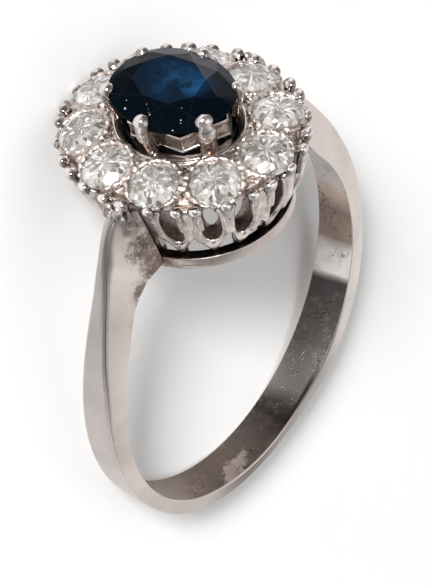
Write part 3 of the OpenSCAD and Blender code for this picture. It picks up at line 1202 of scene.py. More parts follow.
def oval_wire(
    name: str, oval: Oval, height: float, size: tuple[float, float], rounding: float,
    material: Material, sides: int = 144, facets: float = 0.0,
) -> Mesh:
    """Bends a wire with a rounded section into an oval.

    Args:
        name: Name of the tree.
        oval: The oval that the wire's middle follows.
        height: Height of the wire's middle.
        size: Width across the wire and height of its section.
        rounding: Radius of the section's corners.
        material: The finish.
        sides: Number of steps round the oval.
        facets: Turn of the first step, in degrees.

    Returns:
        The wire's mesh.
    """
    recipe = Recipe(name, material)
    along, across = recipe.oval("Oval", oval)
    high = recipe.size("Height", height)
    wide = recipe.size("Section width", size[0])
    tall = recipe.size("Section height", size[1])
    corner = recipe.size("Corner radius", rounding)
    count = recipe.count("Steps", sides)
    first = recipe.size("First step", math.radians(facets))
    circle = recipe.add("CurvePrimitiveCircle", {"Resolution": count, "Radius": 1.0})
    angle = recipe.index() * 2.0 * math.pi / count + first
    spot = recipe.vector(angle.math("COSINE") * along, angle.math("SINE") * across, high)
    path = recipe.add("SetPosition", {0: circle.outputs[0], "Position": spot})
    upright = recipe.add("SetCurveNormal", {0: path.outputs[0]}, mode="Z_UP")
    box = recipe.add("CurvePrimitiveQuadrilateral", {"Width": wide, "Height": tall})
    section = recipe.add("FilletCurve", {"Curve": box.outputs[0], "Radius": corner, "Count": 4}, mode="POLY")
    ends = {"Curve": upright.outputs[0], "Profile Curve": section.outputs[0]}
    swept = recipe.add("CurveToMesh", ends)
    mesh = recipe.finish(swept.outputs[0], bpy.data.meshes.new(name + "_base"))
    face_outwards(mesh)
    return mesh


def rod(name: str, rows: tuple[Triple, ...], sides: int, steps: int = 3) -> Mesh:
    """Makes a smooth round rod in the plane of X and Z, with closed ends.

    Args:
        name: The mesh's name.
        rows: The rod's middle line and radius from foot to tip: out, height, radius.
        sides: Number of sides.
        steps: Rings between two rows.

    Returns:
        The rod's mesh.
    """
    given = np.array(rows, float)
    knots = np.arange(len(rows))
    fine = np.linspace(0, len(rows) - 1, (len(rows) - 1) * steps + 1)
    table = np.array([spline(knots, given[:, c], fine) for c in range(3)]).T
    table[:, 2] = np.maximum(table[:, 2], 0.01)
    slope = np.gradient(table[:, :2], axis=0)
    slope /= np.linalg.norm(slope, axis=1)[:, None] + 1e-12
    points = []
    for (out, high, radius), (along_x, along_z) in zip(table, slope):
        for k in range(sides):
            turn = 2 * math.pi * k / sides
            side = radius * math.cos(turn)
            points.append((out - side * along_z, radius * math.sin(turn), high + side * along_x))
    faces = [
        (i * sides + k, i * sides + (k + 1) % sides, (i + 1) * sides + (k + 1) % sides, (i + 1) * sides + k)
        for i in range(len(table) - 1)
        for k in range(sides)
    ]
    last = (len(table) - 1) * sides
    mesh = mesh_of(name, points, faces + [range(sides)[::-1], range(last, last + sides)])
    face_outwards(mesh)
    mesh.shade_smooth()
    sideways = [abs(math.sin(2 * math.pi * k / sides)) for k in range(sides)] * len(table)
    mesh.attributes.new(SIDEWAYS, "FLOAT", "POINT").data.foreach_set("value", sideways)
    return mesh


def spline(knots: np.ndarray, values: np.ndarray, at: np.ndarray) -> np.ndarray:
    """Returns a smooth curve through the given values that doesn't overshoot.

    Args:
        knots: Places of the values, rising.
        values: The values.
        at: Places to work out.

    Returns:
        The curve's values there.
    """
    knots = np.asarray(knots, float)
    values = np.asarray(values, float)
    slope = np.diff(values) / np.diff(knots)
    tangent = np.zeros(len(values))
    same = slope[:-1] * slope[1:] > 0
    both = 2 * slope[:-1] * slope[1:] / (slope[:-1] + slope[1:] + 1e-12 * (slope[:-1] + slope[1:] == 0))
    tangent[1:-1] = np.where(same, both, 0)
    tangent[0] = slope[0]
    tangent[-1] = slope[-1]
    at = np.clip(np.asarray(at, float), knots[0], knots[-1])
    cell = np.clip(np.searchsorted(knots, at, side="right") - 1, 0, len(knots) - 2)
    span = knots[cell + 1] - knots[cell]
    t = (at - knots[cell]) / span
    start = (1 + 2 * t) * (1 - t) ** 2 * values[cell] + t * (1 - t) ** 2 * span * tangent[cell]
    end = t**2 * (3 - 2 * t) * values[cell + 1] + t**2 * (t - 1) * span * tangent[cell + 1]
    return start + end


def least(a: np.ndarray, b: np.ndarray, soft: float) -> np.ndarray:
    """Returns the lesser of two fields, rounded where they meet.

    Args:
        a: First field.
        b: Second field.
        soft: Radius of the rounding.

    Returns:
        The joined field.
    """
    mix = np.clip(0.5 + 0.5 * (b - a) / soft, 0, 1)
    return b + (a - b) * mix - soft * mix * (1 - mix)


def surface_net(field: np.ndarray, wraps: bool = False) -> tuple[np.ndarray, np.ndarray]:
    """Wraps a skin of squares round the part of a grid where a field is above 0.

    Args:
        field: The field's values on a grid.
        wraps: Whether the first axis repeats, with its last two rows equal to the first two.

    Returns:
        The skin's points in grid steps, and its faces, turned outwards.
    """
    cells = tuple(n - 1 for n in field.shape)
    total = np.zeros((*cells, 3))
    count = np.zeros(cells)
    faces = []
    crossed = []
    for axis in range(3):
        low = np.take(field, range(field.shape[axis] - 1), axis)
        high = np.take(field, range(1, field.shape[axis]), axis)
        cut = (low > 0) != (high > 0)
        share = np.where(cut, low / np.where(cut, low - high, 1), 0)
        crossed.append((cut, low > 0))
        one, two = (axis + 1) % 3, (axis + 2) % 3
        for i, j in ((0, 0), (0, 1), (1, 0), (1, 1)):
            pick = [slice(None)] * 3
            pick[one] = slice(i, i + cells[one])
            pick[two] = slice(j, j + cells[two])
            here = cut[tuple(pick)]
            count += here
            total[..., axis] += share[tuple(pick)] * here
            total[..., one] += i * here
            total[..., two] += j * here
    used = count > 0
    number = np.full(cells, -1)
    number[used] = np.arange(used.sum())
    corner = np.stack(np.meshgrid(*[np.arange(n) for n in cells], indexing="ij"), -1)
    points = (corner + total / np.maximum(count, 1)[..., None])[used]
    for axis, (cut, inside) in enumerate(crossed):
        one, two = (axis + 1) % 3, (axis + 2) % 3
        edges = np.argwhere(cut)
        keep = (edges[:, one] > 0) & (edges[:, one] < cells[one])
        keep &= (edges[:, two] > 0) & (edges[:, two] < cells[two])
        if wraps and axis == 0:
            keep &= edges[:, 0] > 0
        edges = edges[keep]
        back_one, back_two = np.eye(3, dtype=int)[[one, two]]
        ring = [edges - back_one - back_two, edges - back_two, edges, edges - back_one]
        quads = np.stack([number[tuple(r.T)] for r in ring], 1)
        facing = inside[tuple(edges.T)]
        faces.append(np.where(facing[:, None], quads, quads[:, ::-1]))
    return points, np.concatenate(faces)


@dataclass(frozen=True)
class Part:
    """A sub-assembly, which picks its finishes from the ring's own."""

    finishes: Finishes


@dataclass(frozen=True)
class Rail(Part):
    """The oval rail that lies on the finger."""

    oval: Oval = Oval(4.2, 3.9)
    top: float = 7.3
    tall: float = 0.6
    thick: float = 0.55
    corner: float = 0.1

    def build(self) -> None:
        """Builds the rail."""
        middle = self.oval.grown(-self.thick / 2)
        size = (self.thick, self.tall)
        mesh = oval_wire(
            "gallery_rail", middle, self.top - self.tall / 2, size, self.corner, self.finishes.rail
        )
        dress(mesh, "gallery_rail")


@dataclass(frozen=True)
class Coronet(Part):
    """The flaring wall of pointed arches, pierced by egg-shaped openings, on short pins."""

    DEPTH: ClassVar[str] = "depth_mm"
    foot: Oval = Oval(3.9, 3.55)
    wall: Oval = Oval(5.45, 4.7)
    # How much the wall swells between foot and top, along the finger and across it
    bulge: tuple[float, float] = (1.5, 0.95)
    low: float = 7.28
    high: float = 10.8
    # Thickness of the wall by height: [height, thickness]
    thick_rows: tuple = ((7.28, 0.5), (8.3, 1.35), (9.5, 1.35), (10.2, 0.85), (10.8, 0.4))
    thick: float = 1.35
    # Openings: turn from the middle of a tenth, half width, half height, height of their middle,
    # and the powers that make their tops blunt and their bottoms round
    arch_turn: float = 8.2
    arch_half: float = 0.37
    arch_tall: float = 1.14
    arch_middle: float = 9.48
    arch_powers: tuple[float, float] = (3.6, 2.0)
    # Half width of a pair of arches, and how far and how steeply the wall steps back beside it
    pair_half: float = 1.22
    set_back: float = 0.12
    step_wide: float = 0.12
    # Notches in the middle of a pair and gaps between pairs: half width and height
    notch: tuple[float, float] = (0.42, 1.7)
    gap: tuple[float, float] = (0.55, 1.5)
    notch_power: float = 0.7
    # Roundings of the wall's edges, of its openings and of its notches
    skin_round: float = 0.08
    top_round: float = 0.12
    foot_round: float = 0.05
    arch_round: float = 0.3
    notch_round: float = 0.16
    # Cells of a tenth's grid: round the head, up the wall and through it
    columns: int = 44
    rows: int = 48
    layers: int = 20
    # Pins under the wall: [out, height, radius], and how far inside the foot they stand
    pin_rows: tuple = ((0, 7.1, 0.17), (0, 7.35, 0.15), (0, 7.6, 0.16))
    pin_in: float = 0.27

    def clear_of_egg(self, side: np.ndarray, up: np.ndarray) -> np.ndarray:
        """Measures outside an egg-shaped opening.

        Args:
            side: Distances along the wall from its middle.
            up: Heights over its middle.

        Returns:
            The distances, less than 0 in the opening.
        """
        power = np.where(up > 0, *self.arch_powers)
        reach = np.abs(side / self.arch_half) ** power + np.abs(up / self.arch_tall) ** power
        return (reach ** (1 / power) - 1) * self.arch_half

    def clear_of_notch(self, side: np.ndarray, up: np.ndarray, half: float, tall: float) -> np.ndarray:
        """Measures outside a notch with a rounded peak, open at the foot.

        Args:
            side: Distances along the wall from its middle.
            up: Heights over the wall's foot.
            half: Its half width at the foot.
            tall: Its height.

        Returns:
            The distances, less than 0 in the notch.
        """
        peak = up / tall
        out = np.abs(side) - half * np.clip(1 - peak, 0, 1) ** self.notch_power
        over = np.clip(peak - 1, 0, None) * tall
        return np.sqrt(np.clip(out, 0, None) ** 2 + over**2) + np.minimum(out, 0) * (over == 0)

    def unit(self) -> Mesh:
        """Makes the tenth of the wall below one diamond, with X as turn in degrees.

        Returns:
            The tenth, which ends where the next one starts.
        """
        margin = 0.15
        turn = np.linspace(-HEAD_STEP / 2, HEAD_STEP / 2, self.columns + 1)
        turn = np.append(turn, turn[-1] + turn[1] - turn[0])
        depth = np.linspace(-self.thick - margin, margin, self.layers)
        height = np.linspace(self.low - margin, self.high + margin, self.rows)
        x_turn, y, z = np.meshgrid(turn, depth, height, indexing="ij")
        share = (z - self.low) / (self.high - self.low)
        along = self.foot.along + share * (self.wall.along - self.foot.along)
        across = self.foot.across + share * (self.wall.across - self.foot.across)
        per_turn = 2 * math.pi * np.sqrt((along**2 + across**2) / 2) / 360

        def beside(middle: float) -> np.ndarray:
            """Returns the distance along the wall from a turn, the short way round."""
            away = (x_turn - middle + HEAD_STEP / 2) % HEAD_STEP - HEAD_STEP / 2
            return away * per_turn

        step = (np.abs(beside(0.0)) - self.pair_half) / self.step_wide
        skin = -self.set_back * np.clip(step, 0, 1)
        inner = np.interp(z, *np.array(self.thick_rows).T)
        solid = least(skin - y, y + inner, self.skin_round)
        solid = least(solid, self.high - z, self.top_round)
        solid = least(solid, z - self.low, self.foot_round)
        for side in (-1, 1):
            hole = self.clear_of_egg(beside(side * self.arch_turn), z - self.arch_middle)
            solid = least(solid, hole, self.arch_round)
        for middle, sizes in ((0.0, self.notch), (HEAD_STEP / 2, self.gap)):
            hole = self.clear_of_notch(beside(middle), z - self.low, *sizes)
            solid = least(solid, hole, self.notch_round)
        points, faces = surface_net(solid, wraps=True)
        for axis, places in enumerate((turn, depth, height)):
            points[:, axis] = places[0] + points[:, axis] * (places[1] - places[0])
        return mesh_of("coronet_tenth", points, faces)

    def wall_mesh(self, material: Material) -> Mesh:
        """Repeats the tenth ten times and wraps it round the flaring oval.

        Args:
            material: The finish.

        Returns:
            The whole wall.
        """
        recipe = Recipe("coronet_wall", material)
        count = recipe.count("Tenths", DIAMONDS)
        step = recipe.size("Turn of a tenth", HEAD_STEP)
        low = recipe.size("Foot height", self.low)
        tall = recipe.size("Wall height", self.high - self.low)
        foot = recipe.oval("Foot", self.foot)
        wall = recipe.oval("Top", self.wall)
        bulge = [recipe.size(n, s) for n, s in zip(("Bulge along", "Bulge across"), self.bulge)]
        offset = recipe.vector(step, 0.0, 0.0)
        line = recipe.add("MeshLine", {"Count": count, "Offset": offset}, mode="OFFSET")
        places = {"Points": line.outputs[0], "Instance": recipe.entry.outputs["Geometry"]}
        copies = recipe.add("InstanceOnPoints", places)
        real = recipe.add("RealizeInstances", {0: copies.outputs[0]})
        turn, depth, height = recipe.position()
        share = (height - low) / tall
        arc = share * (share * -1.0 + 1.0)
        along, across = [share.plus(wall[k] - foot[k], foot[k]) + arc * bulge[k] for k in range(2)]
        angle = recipe.even_angle(turn, along, across)
        out_u = angle.math("COSINE") / along
        out_v = angle.math("SINE") / across
        length = (out_u * out_u + out_v * out_v).math("SQRT")
        spot = recipe.vector(
            angle.math("COSINE") * along + out_u / length * depth,
            angle.math("SINE") * across + out_v / length * depth,
            height,
        )
        marked = recipe.add(
            "StoreNamedAttribute",
            {"Geometry": real.outputs[0], "Name": self.DEPTH, "Value": depth},
            data_type="FLOAT", domain="POINT",
        )
        wrapped = recipe.add("SetPosition", {0: marked.outputs[0], "Position": spot})
        welded = recipe.add("MergeByDistance", {0: wrapped.outputs[0], "Distance": 0.002})
        return recipe.finish(welded.outputs[0], self.unit())

    def build(self) -> None:
        """Builds the wall and the pins that carry it."""
        dress(self.wall_mesh(self.finishes.coronet), "coronet", sharp=60.0)
        pin = rod("foot_pin", self.pin_rows, 8, 1)
        feet = self.foot.grown(-self.pin_in)
        pins = row_on_oval("foot_pins", pin, feet, DIAMONDS, 2, 2 * self.arch_turn, self.finishes.dark)
        dress(pins, "foot_pins")


@dataclass(frozen=True)
class Claws(Part):
    """The thirty outer claws, the ten beads between the stones and the six tall centre claws."""

    outer: Oval = Oval(5.505, 4.805)
    # Rods from foot to tip: [out, height, radius]
    tall_rows: tuple = (
        (-0.46, 9.6, 0.15), (-0.36, 10.1, 0.19), (-0.27, 10.5, 0.21), (-0.16, 10.8, 0.255),
        (-0.14, 10.92, 0.272), (-0.15, 11.0, 0.25), (-0.165, 11.05, 0.17), (-0.17, 11.07, 0.03),
    )
    short_rows: tuple = (
        (-0.46, 9.8, 0.15), (-0.37, 10.2, 0.18), (-0.28, 10.5, 0.2), (-0.15, 10.76, 0.24),
        (-0.135, 10.88, 0.262), (-0.15, 10.96, 0.23), (-0.17, 11.01, 0.15), (-0.18, 11.03, 0.03),
    )
    bead_rows: tuple = (
        (0, 10.9, 0.2), (0, 11.25, 0.23), (0, 11.36, 0.2), (0, 11.42, 0.12), (0, 11.44, 0.03),
    )
    # Turn of a tall claw from the short one, width over thickness, and unevenness
    tall_turn: float = 13.2
    outer_wide: float = 1.15
    uneven: float = 0.16
    beads: Oval = Oval(3.5, 2.78)
    girdle: Oval = Oval(2.84, 2.24)
    # Centre claws: [even turn, head radius, stem radius, head height, width over thickness]
    centre_rows: tuple = (
        (30, 0.24, 0.17, 13.0, 1.0), (90, 0.3, 0.19, 13.02, 1.0), (150, 0.31, 0.2, 13.02, 1.0),
        (210, 0.35, 0.24, 13.0, 1.0), (274, 0.37, 0.29, 13.12, 1.0), (333, 0.3, 0.29, 13.14, 1.32),
    )
    basket: Oval = Oval(2.44, 1.82)
    basket_sides: int = 6
    basket_turn: float = 3.7
    basket_foot: float = 9.8
    basket_low: float = 11.5
    basket_top: float = 12.22

    def build(self) -> None:
        """Builds every claw and bead, and the basket."""
        for name, rows, members in (
            ("tall_claws", self.tall_rows, 2), ("short_claws", self.short_rows, 1)
        ):
            claw = rod(name.removesuffix("s"), rows, 16)
            claw.transform(Matrix.Diagonal((1.0, self.outer_wide, 1.0, 1.0)))
            row = row_on_oval(
                name, claw, self.outer, DIAMONDS, members, 2 * self.tall_turn, self.finishes.cap,
                vary=self.uneven,
            )
            dress(row, name)
        bead = rod("bead", self.bead_rows, 12)
        row = row_on_oval("beads", bead, self.beads, DIAMONDS, 1, 0.0, self.finishes.bright, HEAD_STEP / 2)
        dress(row, "beads")
        self.build_centre()
        self.build_basket()

    def build_centre(self) -> None:
        """Builds the six claws that hold the sapphire, each a tapered rod of its own size."""
        joined = bmesh.new()
        for turn, head, stem, high, flat in self.centre_rows:
            rows = (
                (-0.42, 10.6, stem), (-0.32, 11.3, stem), (-0.12, 12.1, stem),
                (0.03, 12.55, stem * 1.1), (0.02, high - 0.2, head * 0.82), (-0.04, high, head),
                (-0.09, high + head * 0.5, head * 0.86), (-0.13, high + head * 0.85, head * 0.5),
                (-0.15, high + head, head * 0.1),
            )
            claw = rod("centre_claw", rows, 24, 4)
            claw.transform(Matrix.Diagonal((1.0, flat, 1.0, 1.0)))
            place = Matrix.Translation((*self.girdle.spot(turn), 0))
            claw.transform(place @ Matrix.Rotation(self.girdle.outward(turn), 4, "Z"))
            joined.from_mesh(claw)
        mesh = bpy.data.meshes.new("centre_claws")
        joined.to_mesh(mesh)
        joined.free()
        dress(mesh, "centre_claws", self.finishes.claw)

    def build_basket(self) -> None:
        """Builds the six-sided basket under the sapphire: a foot, and a wall between two bright wires."""
        foot, low, top = self.basket_foot, self.basket_low, self.basket_top
        # Name, height of its middle, width and height of its section, corner radius, finish
        for name, middle, size, rounding, finish in (
            ("basket_wall", (low + top) / 2, (0.16, top - low), 0.04, self.finishes.basket),
            ("basket_foot", (low + foot) / 2, (0.1, low - foot), 0.03, self.finishes.dark),
            ("basket_wire_top", top, (0.24, 0.16), 0.06, self.finishes.bright),
            ("basket_wire_low", low, (0.24, 0.12), 0.05, self.finishes.bright),
        ):
            wire = oval_wire(
                name, self.basket, middle, size, rounding, finish, self.basket_sides, self.basket_turn
            )
            dress(wire, name)


@dataclass(frozen=True)
class SeatPlate(Part):
    """The sloping plate between the stones, with ten drilled seats and the well's wall."""

    edge: Oval = Oval(5.0, 4.25)
    well: Oval = Oval(2.85, 2.25)
    stones: Oval = Oval(4.32, 3.54)
    well_thick: float = 0.3
    well_top: float = 11.3
    well_low: float = 9.0
    edge_top: float = 10.95
    thick: float = 0.45
    stone_r: float = 1.1
    girdle_h: float = 11.15
    lean: float = 12.0
    drill: float = 0.72
    # Cone of a seat: angle in degrees, gap beside the girdle and gap below the stone
    cone: float = 40.75
    side_gap: float = 0.07
    under_gap: float = 0.05
    # Lip over a stone: how far it reaches in, from what height, and how it leans
    lip: float = 0.13
    lip_from: float = 0.06
    lip_lean: float = 0.5
    # Grainy rim round a stone: half thickness, how much slimmer in front, place out and up,
    # and its waves: [depth, number round the stone]
    rim_half: float = 0.17
    rim_less: float = 0.09
    rim_out: float = 0.04
    rim_waves: tuple = ((0.022, 17), (0.016, 29))
    # Roundings of the plate, of its edge and the rims, of the well and of the seats
    plate_round: float = 0.06
    edge_round: float = 0.08
    well_round: float = 0.05
    seat_round: float = 0.04
    # How far the plate reaches into the well, and how deep its ripples are
    well_in: float = 0.06
    ripple_deep: float = 0.016
    step: float = 0.06
    # Raised lines round the well: [distance outside it, height]
    line_rows: tuple = ((0.08, 11.31), (0.4, 11.27))
    line_thick: float = 0.13
    line_corner: float = 0.055
    ledge_thick: float = 0.08

    def seat_space(self, u: np.ndarray, v: np.ndarray, w: np.ndarray, turn: float) -> tuple:
        """Works out the space round one stone.

        Args:
            u: Places along the finger.
            v: Places across it.
            w: Heights.
            turn: The stone's even turn, in degrees.

        Returns:
            Distance outside the stone's space, and depth inside the grainy rim round the stone.
        """
        mid_u, mid_v = self.stones.spot(turn)
        facing = self.stones.outward(turn)
        tilt = math.radians(self.lean)
        out = (u - mid_u) * math.cos(facing) + (v - mid_v) * math.sin(facing)
        side = -(u - mid_u) * math.sin(facing) + (v - mid_v) * math.cos(facing)
        up = w - self.girdle_h
        local_out = out * math.cos(tilt) - up * math.sin(tilt)
        local_up = out * math.sin(tilt) + up * math.cos(tilt)
        away = np.sqrt(local_out**2 + side**2)
        slope = math.tan(math.radians(self.cone))
        wide = away - self.stone_r - self.side_gap
        cone = (wide - (local_up + self.under_gap) / slope) * math.sin(math.radians(self.cone))
        cone = np.maximum(cone, wide)
        lip = away - self.stone_r + self.lip - (local_up - self.lip_from) * self.lip_lean
        cone = np.where(local_up > self.under_gap, lip, cone)
        around = np.arctan2(side, local_out)
        (broad, few), (small, many) = self.rim_waves
        grains = broad * np.sin(few * around) + small * np.sin(many * around + turn)
        front = np.clip((local_out / self.stone_r - 0.3) / 0.5, 0, 1)
        middle = np.hypot(away - self.stone_r - self.rim_out, local_up - self.rim_out)
        rim = self.rim_half - self.rim_less * front + grains - middle
        return np.minimum(cone, away - self.drill), rim

    def plate_mesh(self) -> Mesh:
        """Cuts the seats and the well out of the sloping plate.

        Returns:
            The plate.
        """
        margin = 0.2
        axes = [
            np.arange(-half - margin, half + margin, self.step)
            for half in (self.edge.along, self.edge.across)
        ]
        low = self.edge_top - self.thick
        axes.append(np.arange(low - margin, self.well_top + 3 * margin, self.step))
        u, v, w = np.meshgrid(*axes, indexing="ij")
        from_well = self.well.outside(u, v)
        from_edge = -self.edge.outside(u, v)
        share = np.clip(from_well / np.maximum(from_well + from_edge, 0.01), 0, 1)
        spaces = [self.seat_space(u, v, w, HEAD_STEP * k) for k in range(DIAMONDS)]
        ripple = np.sin(9.1 * u + 2.3 * v) * np.sin(7.7 * v - 3.1 * u) + np.sin(14.3 * u - 11.9 * v)
        top = self.well_top + share * (self.edge_top - self.well_top) + self.ripple_deep * ripple
        plate = least(top - w, w - top + self.thick, self.plate_round)
        plate = least(plate, from_edge, self.edge_round)
        solid = least(plate, from_well + self.well_in, self.well_round)
        for _, rim in spaces:
            solid = -least(-solid, -rim, self.edge_round)
        for space, _ in spaces:
            solid = least(solid, space, self.seat_round)
        points, faces = surface_net(solid)
        for axis in range(3):
            points[:, axis] = axes[axis][0] + points[:, axis] * self.step
        return mesh_of("seat_plate", points, faces)

    def build(self) -> None:
        """Builds the plate, and the well with its lines, wall and ledge."""
        dress(self.plate_mesh(), "seat_plate", self.finishes.cast, sharp=70.0)
        section = (self.line_thick, self.line_thick)
        for number, (grow, high) in enumerate(self.line_rows, 1):
            name = f"well_line_{number}"
            line = oval_wire(
                name, self.well.grown(grow), high, section, self.line_corner, self.finishes.bright
            )
            dress(line, name)
        thick, low, top = self.well_thick, self.well_low, self.well_top
        for name, inwards, middle, tall, rounding, finish in (
            ("well_wall", thick / 2, (low + top) / 2, top - low, 0.08, self.finishes.well),
            ("well_ledge", thick / 2 + 0.02, top + 0.02, self.ledge_thick, 0.03, self.finishes.ledge),
        ):
            wire = oval_wire(name, self.well.grown(-inwards), middle, (thick, tall), rounding, finish)
            dress(wire, name)


class Skin(Enum):
    """The band's finishes, by the number of their material slot."""

    SIDE = 0
    OUTER = 1
    BORE = 2


@dataclass(frozen=True)
class Band(Part):
    """The plain shank: satin sides, an outer face that narrows upwards, and two shoulders."""

    half_in: float = 1.0
    hole_r: float = 8.5
    shoulder_turn: float = 140.0
    flat_h: float = 6.95
    # Near point of each tip, and the point inside the coronet towards which it bends: [u, v, w]
    tip: Triple = (0.18, 5.35, 10.25)
    hook: Triple = (0.3, 4.8, 10.4)
    bend_from: float = 0.6
    # How much the shoulders' inner side narrows, and from where
    narrow: float = 0.25
    narrow_from: float = 0.4
    corner: float = 0.05
    corner_points: int = 5
    per_degree: float = 0.5
    end_steps: int = 15
    # Shoulder's inner side from the last spoke to the tip: [v, w]
    end_rows: tuple = ((4.9, 6.95), (3.75, 6.97), (3.95, 8.4), (4.12, 9.6), (4.28, 10.4))
    # Near edge of the finger hole by angle from the bottom: [angle, radius]
    inner_rows: tuple = (
        (-148, 8.5), (-138, 8.65), (-124, 8.3), (-108, 8.25), (-90, 8.4), (-44, 8.68), (-22, 8.62),
        (-5, 8.64), (12, 8.62), (34, 8.7), (60, 8.55), (86, 8.2), (106, 7.9), (120, 7.75),
        (134, 8.15), (148, 8.7),
    )
    # Near edge of the outer face by angle from the bottom: [angle, radius, half width]
    outer_rows: tuple = (
        (-148, 11.0, 0.2), (-136, 9.9, 0.36), (-121, 9.3, 0.55), (-105, 9.05, 0.72), (-61, 9.3, 0.77),
        (-37, 9.5, 0.77), (-9, 9.48, 0.77), (3, 9.51, 0.76), (17, 9.85, 0.7), (34, 10.2, 0.66),
        (49, 10.1, 0.68), (64, 9.78, 0.74), (83, 9.4, 0.77), (102, 9.32, 0.68), (121, 9.5, 0.5),
        (136, 9.95, 0.36), (148, 11.0, 0.2),
    )
    # How far the far edge of the outer face lies inside the near one: [angle, millimetres]
    far_rows: tuple = (
        (-148, 0.0), (-95, 0.04), (-75, 0.12), (-55, 0.18), (-33, 0.17), (-12, 0.05), (10, 0.0),
        (148, 0.0),
    )

    @classmethod
    def share(cls, turn: float) -> float:
        """Returns the place round the band's map for a turn from the bottom, in degrees."""
        spokes = 2 * cls.shoulder_turn * cls.per_degree
        return (cls.end_steps + (turn + cls.shoulder_turn) * cls.per_degree) / (spokes + 2 * cls.end_steps)

    def corners(self, turn: float) -> list[Triple]:
        """Works out the section at a turn.

        Args:
            turn: Turn from the bottom, in degrees.

        Returns:
            The section's four corners, from the near inside one round.
        """
        spoke = np.array([math.sin(math.radians(turn)), -math.cos(math.radians(turn))])
        inner = spline(*np.array(self.inner_rows, float).T, [turn])[0]
        knots, radii, halves = np.array(self.outer_rows, float).T
        near = spline(knots, radii, [turn])[0]
        half = spline(knots, halves, [turn])[0]
        far = near - np.interp(turn, *np.array(self.far_rows, float).T)
        plain = self.hole_r
        if spoke[1] > 0:
            inner = min(inner, self.flat_h / spoke[1])
            plain = min(plain, self.flat_h / spoke[1])
        return [
            (self.half_in, *(inner * spoke)), (half, *(near * spoke)),
            (-half, *(far * spoke)), (-self.half_in, *(plain * spoke)),
        ]

    def end_corners(self, side: float, share: float) -> list[Triple]:
        """Works out the section between the last spoke and a shoulder's tip.

        Args:
            side: 1 or -1, the sign of the shoulder's turn.
            share: How far it is to the tip, from 0 to 1.

        Returns:
            The section's four corners.
        """
        start = np.array(self.corners(side * self.shoulder_turn))
        stops = np.array([(abs(start[0][1]), start[0][2]), *self.end_rows])
        place = share * (len(stops) - 1)
        v = np.interp(place, range(len(stops)), stops[:, 0]) * side
        w = np.interp(place, range(len(stops)), stops[:, 1])
        half_in = self.half_in - self.narrow * max(0.0, share - self.narrow_from)
        tip, hook = np.array((self.tip, self.hook)) * (1.0, side, 1.0)
        outer = start[1] + (tip - start[1]) * min(share, 0.9)
        bend = max(0.0, (share - self.bend_from) / (1 - self.bend_from)) ** 2
        outer = outer + (hook - outer) * bend
        return [(half_in, v, w), tuple(outer), (-outer[0], outer[1], outer[2]), (-half_in, v, w)]

    def rounded(self, corners: list[Triple]) -> list[np.ndarray]:
        """Rounds a section's corners a little.

        Args:
            corners: The section's four corners.

        Returns:
            Its outline, with the same number of points at each corner.
        """
        outline = []
        for k, here in enumerate(corners):
            here = np.array(here)
            before = np.array(corners[k - 1]) - here
            after = np.array(corners[(k + 1) % 4]) - here
            room = min(np.linalg.norm(before), np.linalg.norm(after)) * 0.45
            reach = min(self.corner, room)
            first = here + before / np.linalg.norm(before) * reach
            last = here + after / np.linalg.norm(after) * reach
            for t in np.linspace(0, 1, self.corner_points):
                outline.append((1 - t) ** 2 * first + 2 * t * (1 - t) * here + t**2 * last)
        return outline

    def skin_after(self, point: int) -> Skin:
        """Returns the finish of the faces that follow a point of the outline."""
        ends = {2 * self.corner_points - 1: Skin.OUTER, 4 * self.corner_points - 1: Skin.BORE}
        return ends.get(point, Skin.SIDE)

    def sections(self) -> np.ndarray:
        """Works out the band from tip to tip.

        Returns:
            The outlines of its sections, by section, point and axis.
        """
        count = int(2 * self.shoulder_turn * self.per_degree) + 1
        spokes = [self.corners(t) for t in np.linspace(-self.shoulder_turn, self.shoulder_turn, count)]
        ends = np.linspace(0, 1, self.end_steps + 1)[1:]
        first = [self.end_corners(-1.0, share) for share in ends[::-1]]
        last = [self.end_corners(1.0, share) for share in ends]
        return np.array([self.rounded(section) for section in first + spokes + last])

    def build(self) -> None:
        """Builds the band as a loft, with a map of the places round the finger and round a section."""
        outlines = self.sections()
        rings, around = outlines.shape[:2]
        faces = []
        skins = []
        for start in range(0, (rings - 1) * around, around):
            for k in range(around):
                after = (k + 1) % around
                faces.append((start + k, start + after, start + around + after, start + around + k))
                skins.append(self.skin_after(k).value)
        last = (rings - 1) * around
        caps = [tuple(range(around))[::-1], tuple(range(last, last + around))]
        mesh = mesh_of("band", outlines.reshape(-1, 3), faces + caps)
        mesh.polygons.foreach_set("material_index", skins + [Skin.SIDE.value] * len(caps))
        round_map = mesh.uv_layers.new(name="round_and_across")
        for face, corners in zip(mesh.polygons, faces):
            for loop, corner in zip(face.loop_indices, corners):
                ring, place = divmod(corner, around)
                if face.index % around == around - 1 and place == 0:
                    place = around
                round_map.data[loop].uv = (ring / (rings - 1), place / around)
        face_outwards(mesh)
        dress(mesh, "band", self.finishes.side, self.finishes.outer, self.finishes.bore, sharp=16.0)


